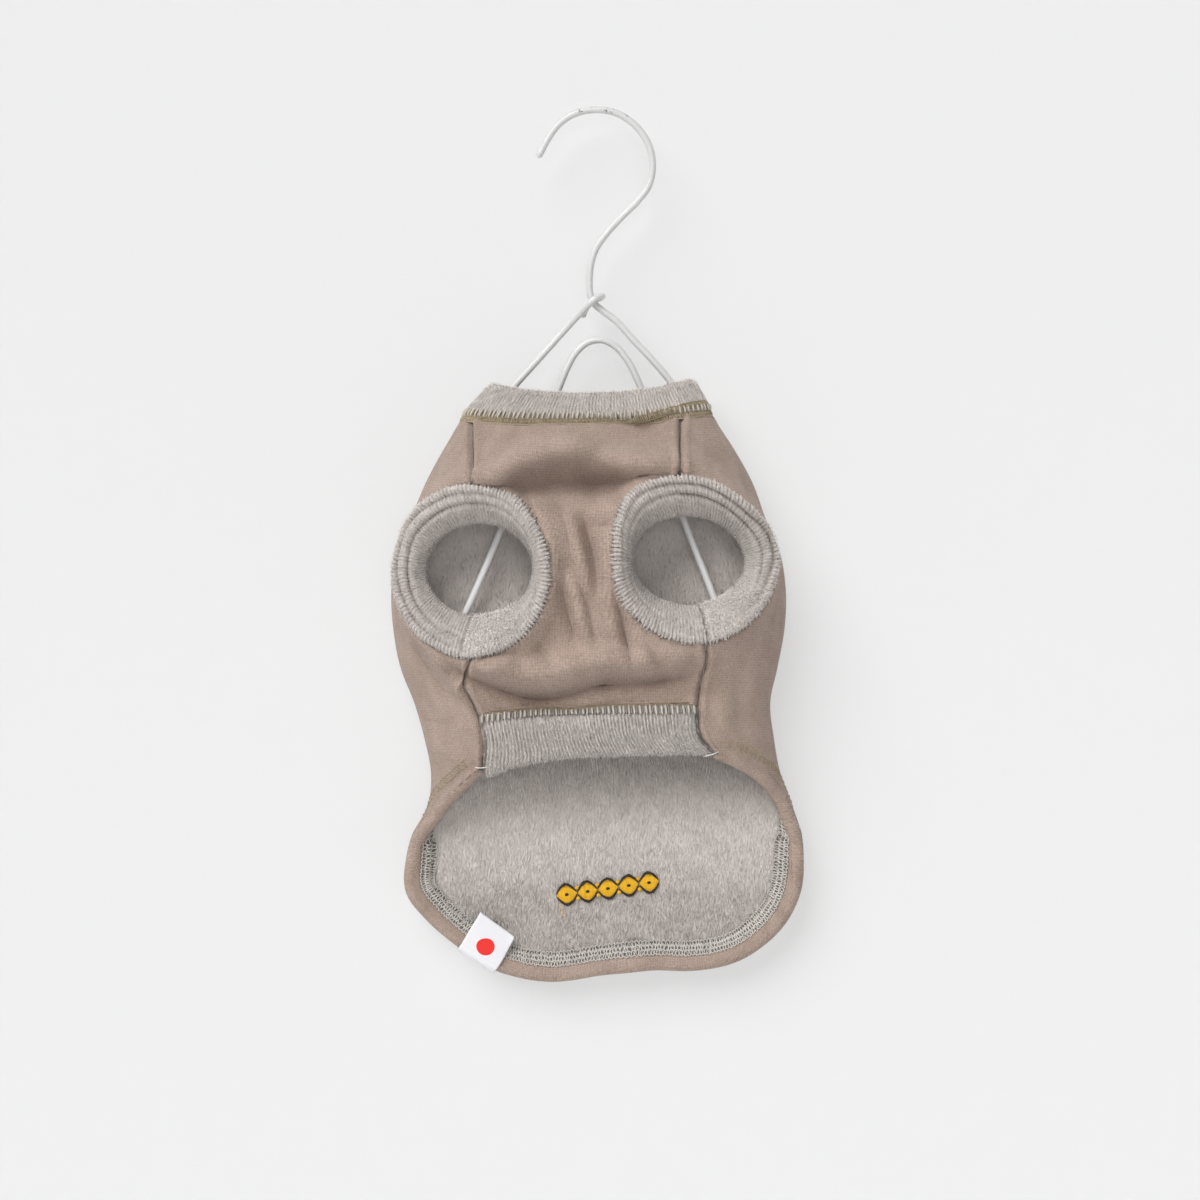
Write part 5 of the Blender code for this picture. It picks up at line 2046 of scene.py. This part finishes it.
@dataclass(frozen=True)
class Stitching:
    """Every row of stitches on the vest."""

    form: VestForm
    back: BackPanel
    teeth_pitch: float = 2.15
    rung_pitch: float = 2.3
    hem_pitch: float = 1.45
    hem_span: Pair = (0.1, 0.905)
    hem_rows: Pair = (4.5, 7.1)
    net: Pair = (4.2, 10.3)
    lap_from_to: Pair = (49.0, 14.0)
    lap_rise: float = 3.4

    def neck_place(self) -> tuple[Lay, float, Callable[[float], float]]:
        """Positions round the neck seam, its length, and the way from a turn to a position."""
        form = self.form
        dense, length = form.neck_run()

        def place(along: Array, across: Array, lift: Array) -> Array:
            """Points along the neck seam, across being upwards from it."""
            turn = np.interp(along % length[-1], length, dense)
            return form.lay(turn, form.neck_line(form.neck_seam, turn) + across, lift)

        return place, float(length[-1]), lambda turn: float(
            np.interp(turn % (2 * math.pi), dense, length))

    def belly_place(self) -> tuple[Lay, float]:
        """Positions along the belly band's seam, and its length."""
        form, rows = self.form, Rows(10, 40, 20, 10)
        crossing = rows.above + rows.arc + rows.below
        start, end = (edge[crossing] for edge in form.side_edges(rows, medial=False))
        length = 1.01 * (end[0] - start[0])

        def place(along: Array, across: Array, lift: Array) -> Array:
            """Points along the belly band's seam, across being upwards from it."""
            share = along / length
            x = start[0] + share * (end[0] - start[0])
            z = start[1] + share * (end[1] - start[1]) + across
            return form.lay(form.front_turn(x, z), z, lift)

        return place, float(length)

    def hem_place(self) -> tuple[Lay, float]:
        """Positions along the hem, and its length."""
        form = self.form
        line = form.hem_line(1201)
        turn, height = line[:, 0], line[:, 1]
        length = run_lengths(form.surface(turn, height))
        _, out = form.hem_frame(turn, height)

        def place(along: Array, across: Array, lift: Array) -> Array:
            """Points along the hem, across being the way in from its fold."""
            start = [np.interp(along, length, column) for column in (turn, height)]
            away = np.stack([np.interp(along, length, out[:, k]) for k in range(3)], axis=-1)
            walked = form.walk(*start, -away, across)
            return form.lay(*walked, lift)

        return place, float(length[-1])

    def neck(self, finishes: Finishes) -> Object:
        """Pale loops over the neckband's lower edge, above a strip of khaki overlock.

        Args:
            finishes: the materials.

        Returns:
            The piece.
        """
        place, length, at = self.neck_place()
        pale = Sewing(place, Batch(), np.random.default_rng(71))
        khaki, whole = pale.other(1), (0.0, length)
        pale.rungs(whole, self.teeth_pitch, (2.1, -0.9), (3.0, 2.5), 0.5, 0.25, 0.5, 0.62, 0.1)
        khaki.rungs(whole, self.teeth_pitch, (1.7, -0.6), (2.55, 2.1), 0.2, 0.3, 0.62, 0.1)
        khaki.rungs(whole, 0.82, (-0.7, -3.1), (2.0, 1.6), 0.35, 0.7, 0.36, 0.3)
        khaki.rungs(whole, 1.35, (-0.9, -2.8), (2.2, 1.8), 0.25, -1.1, 0.3, 0.5)
        khaki.line(whole, -3.1, 1.7, 0.42, sway=0.16, pitch=1.3, tone=0.6)
        khaki.line(whole, -0.75, 2.3, 0.4, sway=0.12, pitch=1.3, tone=0.15)
        seam_height = np.array(self.form.neck_seam[0] + 0.6)
        lap = tuple(sorted(at(self.form.front_turn(np.array(x), seam_height))
                           for x in self.lap_from_to))

        def risen(along: Array, across: Array, lift: Array) -> Array:
            """The same places, climbing along the lap."""
            share = 1.15 * (lap[1] - along) / (lap[1] - lap[0])
            return place(along, across + self.lap_rise * fade(share), lift)

        rise = Sewing(risen, pale.batch, np.random.default_rng(72), khaki.slot)
        rise.rungs(lap, 0.85, (-2.7, -0.5), (2.5, 3.3), 0.45, 0.9, 0.4, 0.35)
        rise.line(lap, -2.5, 2.7, 0.42, sway=0.14, pitch=1.3, tone=0.1)
        rise.line(lap, -0.5, 3.4, 0.4, sway=0.14, pitch=1.3, tone=0.2)
        return pale.batch.piece("neck_stitches", (finishes.pale, finishes.khaki))

    def belly(self, finishes: Finishes) -> Object:
        """Pale rungs over the belly band's top with darkest grey rungs between them as painted shade,
        a khaki cord, a second row, and corner tacks.

        Args:
            finishes: the materials.

        Returns:
            The piece.
        """
        place, length = self.belly_place()
        pale = Sewing(place, Batch(), np.random.default_rng(81))
        khaki, grey, whole = pale.other(1), pale.other(3), (1.4, length - 1.4)
        pale.rungs(whole, self.rung_pitch, (0.5, -2.8), (2.8, 3.7), 0.5, 0.3, 0.52, 0.6)
        # darkest grey rungs under and between the pale ones: painted shade in the gaps
        grey.rungs(whole, self.rung_pitch / 2, (0.3, -2.5), (2.4, 3.2), 0.1, 0.1, 0.66, -0.6)
        khaki.line(whole, 0.8, 2.1, 0.36, sway=0.12, pitch=1.3, tone=0.3)
        khaki.line(whole, 1.5, 1.8, 0.3, sway=0.12, pitch=1.3, tone=0.1)
        khaki.dashes(whole, 3.1, 1.85, 0.32, 1.9, 0.5)
        tacks = ((-54.6, -292.4, -49.2, -292.2), (45.2, -287.6, 51.8, -285.6))
        for x0, z0, x1, z1 in tacks:
            t = np.linspace(0, 1, 7)[None]
            x, z = x0 + (x1 - x0) * t, z0 + (z1 - z0) * t
            paths = self.form.lay(self.form.front_turn(x, z), z, 2.4 + 1.3 * np.sin(math.pi * t))
            points, skins, uv = tube_mesh(paths, 0.24 * capsule(7), 5, np.array((0, -1.0, 0)), 0.1)
            pale.batch.add(points, [(faces, 2) for faces, _ in skins], uv, 0.7)
        return pale.batch.piece(
            "belly_stitches", (finishes.pale, finishes.khaki, finishes.white, finishes.grey))

    def hem(self, finishes: Finishes) -> tuple[Object, Object]:
        """The hem's stitches: a netted band over the raw edge inside, two neat rows outside.

        Args:
            finishes: the materials.

        Returns:
            The piece inside and the one outside.
        """
        place, length = self.hem_place()
        span = self.hem_span[0] * length, self.hem_span[1] * length
        half = self.form.wall / 2

        def inside(along: Array, across: Array, lift: Array) -> Array:
            """Points on the turned edge and, past its raw end, on the lining."""
            offset, reach = self.back.turned(across)
            past = fade((across - self.form.hem_turn + 0.2) / 0.9)
            return place(along, across, (offset - reach) * (1 - past) - half * past - lift)

        band = Sewing(inside, Batch(), np.random.default_rng(91))
        self.net_shade_sheet(band.batch, inside, span)
        for slant, tone, lift in ((1.7, 0.95, 0.6), (-1.7, 0.8, 0.45)):
            band.rungs(span, self.hem_pitch, self.net, (lift, lift), 0.3, slant, 0.22, tone,
                       jitter=0.14, points=10)
        for across, tone in ((4.3, 0.9), (6.3, 1.0), (8.3, 1.0), (10.2, 0.8)):
            band.line(span, across, 0.7, 0.28, step=0.5, sway=0.42, pitch=1.9, tone=tone)
        inside_piece = band.batch.piece("hem_stitches_inside", (finishes.grey,))
        rows = Sewing(place, Batch(), np.random.default_rng(95))
        whole = (2.0, length - 2.0)
        rows.rungs(whole, 1.7, (4.7, 6.9), (half - 0.1, half - 0.1), 0.25, 0.7, 0.26, 0.35)
        for across in self.hem_rows:
            rows.dashes(whole, across, half, 0.46, 2.2, 0.4, tone=0.45)
        return inside_piece, rows.batch.piece("hem_stitches_outside", (finishes.khaki,))

    def net_shade_sheet(self, batch: Batch, inside: Lay, span: Pair) -> None:
        """Adds a flat sheet that fills the netted band: it stands for the tangle of loops, and its
        darkest grey is painted shade in the gaps between the threads.
        """
        along = np.linspace(*span, 420)[:, None]
        across = np.linspace(*self.net, 10)[None]
        along, across = np.broadcast_arrays(along, across)
        rough = 0.08 * wander(along, 1.6, 96) * wander(across + along, 1.3, 97)
        top = inside(along, across, 0.2 + rough)
        points, skins = shell_mesh(top, inside(along, across, np.full_like(top[..., 0], -0.3)))
        uv = np.stack([across / 10, along / 10], axis=-1)
        # a tone below 0 gives the thread's darkest grey: painted shade
        batch.add(points, [(faces, 0) for faces, _ in skins],
                  np.tile(uv.reshape(-1, 2), (2, 1)), -0.2)


@dataclass(frozen=True)
class HemLabel:
    """White tape folded round the hem: a plain red disc on the leaf that shows inside."""

    form: VestForm
    wall: float = 0.45
    width: float = 19.5
    inside: float = 15.6
    outside: float = 13.0
    at: float = 0.3215
    disc_up: float = 6.3
    lean: float = math.radians(5)
    flat: Pair = (0.0195, 0.041)

    def build(self, finishes: Finishes) -> Object:
        """Makes the tape: outside leaf, half circle round the fold, then the inside leaf.

        Args:
            finishes: the materials.

        Returns:
            The piece.
        """
        form = self.form
        hem = form.hem_line(401)
        at = int(self.at * 400)
        _, out = form.hem_frame(hem[:, 0], hem[:, 1])
        tangent = unit(form.surface(*hem[at + 1]) - form.surface(*hem[at - 1]))
        count = 25
        across = np.linspace(-self.width / 2, self.width / 2, count)
        start = np.full(count, hem[at, 0]), np.full(count, hem[at, 1])
        start = form.walk(*start, np.tile(tangent, (count, 1)), across)
        aim = np.tile(out[at], (count, 1))
        inward = -math.cos(self.lean) * aim - math.sin(self.lean) * tangent
        clear = form.wall / 2 + 0.35 + self.wall / 2
        middle, normal, place = [], [], []

        def leaf(distance: float, offset: Array, side: int) -> None:
            """Adds a row of the tape at a distance in from the hem's fold."""
            where = form.walk(*start, inward, np.full(count, distance))
            leaf_face = form.normal(*where)
            middle.append(form.surface(*where) + offset[:, None] * leaf_face)
            normal.append(side * leaf_face)
            place.append(distance if side < 0 else -distance - 5)

        for distance in np.linspace(self.outside, 1.2, 9):
            leaf(distance, np.full(count, clear), 1)
        fold, fold_face = form.surface(*start), form.normal(*start)
        for angle in np.linspace(0, math.pi, 11):
            turned = math.sin(angle) * aim + math.cos(angle) * fold_face
            middle.append(fold - form.hem_bend * fold_face + (form.hem_bend + clear) * turned)
            normal.append(turned)
            place.append(-1.5 * (form.hem_bend + clear) * math.cos(angle / 2) ** 2)
        edge = abs(across) / (self.width / 2)
        for distance in np.linspace(1.0, self.inside, 14):
            curl = 0.5 * fade((distance - 9) / 7) * edge**2 + 0.25 * fade((distance - 4) / 8)
            raised = 2 * form.hem_bend + clear + 0.65 * fade((distance - 0.5) / 2.5)
            leaf(distance, -raised - curl, -1)
        middle, normal = np.stack(middle, axis=1), unit(np.stack(normal, axis=1))
        selvedge = np.where(np.arange(count) % (count - 1) == 0, 0.75, 1.0)[:, None, None]
        reach = self.wall / 2 * selvedge * normal
        points, skins = shell_mesh(middle + reach, middle - reach)
        uv = np.stack(np.broadcast_arrays(
            across[:, None], np.array(place)[None] - self.disc_up + form.hem_bend), axis=-1) / 10
        return one_mesh("hem_label_tape", (finishes.tape,), points,
                        [(faces, 0) for faces, _ in skins], np.tile(uv.reshape(-1, 2), (2, 1)))


class Face(Enum):
    """Which side of the cloth a piece of sewing lies on."""

    OUTSIDE = 1
    INSIDE = -1


@dataclass(frozen=True)
class Embroidery:
    """A bar of five satin lozenges with dark outlines and small knots between them."""

    form: VestForm
    x: float = 3.6
    z: float = -349.5
    tilt: float = math.radians(8)
    length: float = 47.0
    height: float = 7.8
    lozenges: int = 5
    pitch: float = 0.46

    def build(self, face: Face, finishes: Finishes) -> Object:
        """Makes the embroidery on one side of the cloth.

        Args:
            face: which side of the cloth.
            finishes: the materials.

        Returns:
            The piece.
        """
        form, side = self.form, face.value

        def place(u: Array, v: Array, lift: Array) -> Array:
            """Points along and across the bar, lifted off this side of the cloth."""
            x = self.x + u * math.cos(self.tilt) - v * math.sin(self.tilt)
            z = self.z + u * math.sin(self.tilt) + v * math.cos(self.tilt)
            rest = form.wall / 2 + (0.35 if side < 0 else 0.05)
            return form.lay(form.back_turn(x, z), z, side * (rest + lift))

        dice = np.random.default_rng(101)
        yellow = Sewing(place, Batch(), dice)
        dark = yellow.other(1)
        each = self.length / self.lozenges
        half, tall = each / 2 - 0.35, self.height / 2
        t = np.linspace(-1, 1, 6)[None]
        for index in range(self.lozenges):
            middle = -self.length / 2 + each * (index + 0.5)
            u = np.arange(-half + 0.25, half, self.pitch)[:, None]
            reach = tall * (1 - (abs(u) / half) ** 1.9) + 0.3
            yellow.lay(middle + u + 0.12 * t, reach * t, 0.25 + 0.55 * (1 - t**2), 0.3,
                       np.clip(0.55 + 0.16 * dice.normal(size=len(u)), 0, 1))
            wide = np.linspace(-half, half, 15)[None] * 1.04
            for grow, radius in ((0.35, 0.4), (0.95, 0.3)):
                for way in (-1, 1):
                    high = way * (tall * (1 - (abs(wide / 1.04) / half) ** 1.9) + grow)
                    wobble = 0.12 * dice.normal(size=(1, 15))
                    dark.lay(middle + wide, high + wobble, np.full((1, 15), 0.45), radius, 0.3)
        between = [(-self.length / 2 + each * (k + 1), s * tall * 0.62)
                   for k in range(self.lozenges - 1) for s in (-1, 1)]
        centres = [(-self.length / 2 + each * (k + 0.5), 0.0) for k in range(self.lozenges)]
        offset = np.arange(-2, 3)[:, None] * 0.3
        reach = 0.85 * np.sqrt(1 - (offset / 0.8) ** 2)
        for sewing, knots in ((yellow, between), (dark, centres)):
            for u, v in knots:
                sewing.lay(u + offset, v + reach * t, 0.45 + 0.7 * (1 - t**2), 0.26, 0.5)
        if face is Face.INSIDE:
            loose = np.array(((-22.6, -3.4, 0.9), (-22.3, -4.6, 1.3), (-21.9, -6.2, 1.4),
                              (-21.7, -7.8, 1.2), (-21.2, -9.2, 1.3), (-20.6, -10.2, 1.6)))
            yellow.lay(*(loose[None, :, k] for k in range(3)), 0.17, 0.7)
        return yellow.batch.piece("embroidery_" + face.name.lower(),
                                  (finishes.yellow, finishes.dark))


HOOK = (
    (-27.9, -20.0), (-24.2, -12.8), (-18.2, -4.6), (-10.6, 0.1), (-2.4, 1.6), (6.0, 0.6),
    (13.5, -3.4), (19.4, -9.6), (22.9, -17.3), (23.6, -25.2), (22.0, -32.4), (17.4, -39.0),
    (9.7, -46.7), (2.7, -54.4), (-2.1, -61.4), (-4.2, -68.4), (-4.8, -76.0), (-4.4, -81.4),
    (-2.6, -85.6), (1.4, -89.0), (6.8, -93.0), (13.6, -100.4), (30.2, -118.8), (38.0, -130.0),
)
WRAP = (
    (-7.9, 1.9, -91.6), (-6.9, 2.9, -88.4), (-5.4, 3.8, -85.4), (-2.6, 4.0, -83.6),
    (0.3, 2.5, -82.6), (1.0, 0.0, -82.3), (0.0, -2.6, -82.7), (-2.6, -4.0, -84.2),
    (-5.6, -3.4, -86.8), (-9.4, -1.7, -90.6), (-15.8, 0, -97.4), (-28, 0, -111),
    (-37.4, 0, -121.4), (-47, 0, -132.4),
)
ARCH = (
    (-27.0, -143.0), (-18.2, -122.9), (-14.9, -114.8), (-10.6, -107.4), (-5.4, -103.0),
    (0.8, -102.0), (7.0, -104.9), (12.4, -111.2), (17.6, -121.7), (24.2, -141.0),
)
LEFT_LEG = (
    (-82.6, -230.0), (-80.4, -240.5), (-76.0, -247.4), (-70.8, -244.6), (-66.2, -236.4),
    (-60.6, -224.8), (-45.0, -188.6), (-27.15, -143.35),
)
RIGHT_LEG = (
    (72.0, -226.0), (70.4, -237.6), (66.0, -245.0), (60.6, -242.6), (56.4, -232.0),
    (50.4, -215.6), (37.4, -181.8), (24.3, -141.3),
)
SHOULDER_STARTS = ((-47.25, -132.7), (38.2, -130.4))
SHOULDER_HEIGHTS = (-148, -160, -174, -190, -205, -218)


@dataclass(frozen=True)
class WireHanger:
    """One painted steel wire: hook, twist, two shoulder loops, and the arch between them."""

    form: VestForm
    radius: float = 1.6
    gap: float = 0.9
    pitch: float = 0.9
    sides: int = 16

    def shoulder(self, side: int) -> list[Pair]:
        """(x, z) points just inside the cloth's side edge."""
        heights = np.array(SHOULDER_HEIGHTS, float)
        centre, half, _, _ = self.form.level(heights)
        above, below = self.form.level(heights + 1), self.form.level(heights - 1)
        slope = ((above[0] + side * above[1]) - (below[0] + side * below[1])) / 2
        inward = unit(np.stack([np.full_like(slope, -side), side * slope], axis=1))
        clear = self.form.wall / 2 + self.radius + self.gap
        edge = np.stack([centre + side * half, heights], axis=1) + clear * inward
        return [tuple(point) for point in edge]

    def route(self) -> Array:
        """The whole wire's line, from the twist's tip round to the hook's tip."""
        left = [SHOULDER_STARTS[0], *self.shoulder(-1), *LEFT_LEG]
        right = [SHOULDER_STARTS[1], *self.shoulder(1), *RIGHT_LEG]
        parts = [along_length(WRAP, 160)]
        for flat in (left, ARCH, right[::-1], HOOK[::-1]):
            table = np.array(flat, float)
            solid = np.stack([table[:, 0], 0 * table[:, 0], table[:, 1]], axis=1)
            length = run_lengths(solid)[-1]
            parts.append(along_length(solid, int(length / self.pitch))[1:])
        return np.concatenate(parts)

    def build(self, finishes: Finishes) -> Object:
        """Makes the wire.

        Args:
            finishes: the materials.

        Returns:
            The piece.
        """
        route = self.route()
        count = len(route)
        near_twist = 1 - fade((np.arange(count) - 120) / 60)[:, None]
        reference = unit(near_twist * (-0.45, 0.1, 0.9) + (1 - near_twist) * (0, -1.0, 0))
        ends = np.minimum(np.arange(count), np.arange(count)[::-1])
        radius = self.radius * np.sqrt(1 - np.clip(1 - ends / 1.6, 0, 0.97) ** 2)
        wire = tube_mesh(route[None], radius[None], self.sides, reference, self.pitch / 10)
        return one_mesh("hanger_wire", (finishes.wire,), *wire)


@dataclass(frozen=True)
class Studio:
    """A pale wall and floor, soft suns before and behind, and the camera."""

    wall_y: float = 0.020
    floor_z: float = -1.1
    top_z: float = 2.2
    wide: float = 3.0
    wall_tone: float = 0.815
    floor_tone: float = 0.8
    even: float = 0.6
    key: float = 2.8
    fill: float = 0.5
    behind: float = 1.2
    sky: float = 0.2
    lens: float = 90.0
    distance: float = 1.35
    aim_z: float = -0.219

    def plain(self, name: str, tone: float) -> Material:
        """A matt pale material, evened out for the camera, that can't be seen from its back.

        Args:
            name: the material's.
            tone: how light it is.

        Returns:
            The material.
        """
        colour = (tone, tone, tone, 1)
        material, tree, shader = Finish.start(
            name, Base_Color=colour, Roughness=0.9, Specular_IOR_Level=0.1)
        rays = tree.add("LightPath").outputs
        seen = tree.maths("MAXIMUM", rays["Is Camera Ray"], rays["Is Glossy Ray"])
        seen = tree.maths("MAXIMUM", seen, rays["Is Transmission Ray"])
        glow = tree.add("Emission", None, Color=colour, Strength=1.0)
        evened = tree.mix(tree.maths("MULTIPLY", seen, self.even), shader, glow)
        behind = tree.add("NewGeometry").outputs["Backfacing"]
        mixed = tree.mix(behind, evened, tree.add("BsdfTransparent"))
        tree.put(material.node_tree.nodes["Material Output"].inputs[0], mixed.outputs[0])
        return material

    def plane(self, name: str, corners: Sequence, tone: float) -> Object:
        """A flat stage piece that throws no shadow."""
        mesh = bpy.data.meshes.new(name)
        mesh.from_pydata(corners, [], [(0, 1, 2, 3)])
        mesh.materials.append(self.plain(name, tone))
        made = placed(name, mesh)
        made.visible_shadow = False
        return made

    def sun(self, name: str, toward: Sequence, strength: float, soft: float) -> None:
        """A soft even light that comes from a direction."""
        data = bpy.data.lights.new(name, "SUN")
        data.energy, data.angle = strength, math.radians(soft)
        made = placed(name, data)
        made.rotation_euler = (-Vector(toward)).to_track_quat("-Z", "Y").to_euler()

    def build(self) -> None:
        """Makes the stage, the light and the camera."""
        wide, low = self.wide, self.floor_z
        wall = [(x, self.wall_y, z)
                for x, z in ((-wide, low), (wide, low), (wide, self.top_z), (-wide, self.top_z))]
        floor = [(x, y, low) for x, y in ((-wide, -wide), (wide, -wide), (wide, wide), (-wide, wide))]
        self.plane("studio_wall", wall, self.wall_tone)
        self.plane("studio_floor", floor, self.floor_tone)
        self.sun("key", (-0.40, -0.64, 0.62), self.key, 46)
        self.sun("fill", (0.05, -1.0, 0.02), self.fill, 26)
        self.sun("back_key", (0.5, 0.7, 0.5), self.behind, 50)
        scene = bpy.context.scene
        world = bpy.data.worlds.new("studio_sky")
        world.use_nodes = True
        ground = world.node_tree.nodes["Background"]
        ground.inputs[0].default_value = (self.sky, self.sky, self.sky * 1.01, 1)
        ground.inputs[1].default_value = 1.0
        scene.world = world
        scene.view_settings.view_transform = "Standard"
        data = bpy.data.cameras.new("camera")
        data.sensor_width, data.lens = 36, self.lens
        data.clip_start, data.clip_end = 0.05, 20
        camera = placed("camera", data)
        camera.location = (0, -self.distance, self.aim_z)
        camera.rotation_euler = (math.pi / 2, 0, 0)
        scene.camera = camera


def place_piece(piece: Object, slot: str, *nodes: str) -> Object:
    """Puts a piece on the body and hides the solids that it stands for.

    Args:
        piece: what is placed.
        slot: not used.
        nodes: the solids that it stands for.

    Returns:
        The piece.
    """
    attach(piece, BODY)
    if nodes:
        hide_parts(*nodes)
    faces = sum(len(polygon.vertices) - 2 for polygon in piece.data.polygons)
    log.info("%s: %d triangles", piece.name, faces)
    return piece


def place_strip(pair: tuple[Object, Object], node: str) -> tuple[Object, Object]:
    """Puts a strip's cloth and its hairs on the body."""
    return place_piece(pair[0], "fleece", node), place_piece(pair[1], "fleece")


def main() -> None:
    """Builds every piece in order."""
    logging.basicConfig(level=logging.INFO, format="%(message)s")
    for old in list(bpy.data.objects):
        bpy.data.objects.remove(old)
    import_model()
    form, finishes = VestForm(), Finishes()
    chest, back = ChestPanel(form), BackPanel(form)
    chest_cloth = place_piece(chest.build(finishes), "knit", "chest_panel")
    back_cloth = place_piece(back.build(finishes), "knit", "back_panel")
    lining = place_piece(LiningPile(form).build(finishes), "fleece")
    neckband, bellyband = Neckband(form), BellyBand(form)
    neck_cloth, neck_pile = place_strip(neckband.build(finishes), "neckband")
    belly_cloth, belly_pile = place_strip(bellyband.build(finishes), "belly_band")
    sewing = Stitching(form, back)
    neck_stitches = place_piece(sewing.neck(finishes), "fleece")
    belly_stitches = place_piece(sewing.belly(finishes), "fleece")
    hem_inside, hem_outside = sewing.hem(finishes)
    place_piece(hem_inside, "fleece")
    place_piece(hem_outside, "knit")
    plans = (CuffPlan("cuff_left", LEFT_RING, -96, 172, 84, -20, 110),
             CuffPlan("cuff_right", RIGHT_RING, -80, 42, 72, -120, 140))
    for plan in plans:
        cuff = LegCuff(form, plan=plan)
        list(place_strip(cuff.build(finishes), plan.name))
    label = HemLabel(form)
    tape = place_piece(label.build(finishes), "label", "hem_label")
    embroidery = Embroidery(form)
    sewn = [place_piece(embroidery.build(face, finishes), "fleece") for face in Face]
    place_piece(WireHanger(form).build(finishes), "wire", "hanger_hook", "hanger_left_arm",
                "hanger_arch", "hanger_left_loop", "hanger_right_loop")
    Studio().build()


if __name__ == "__main__":
    main()
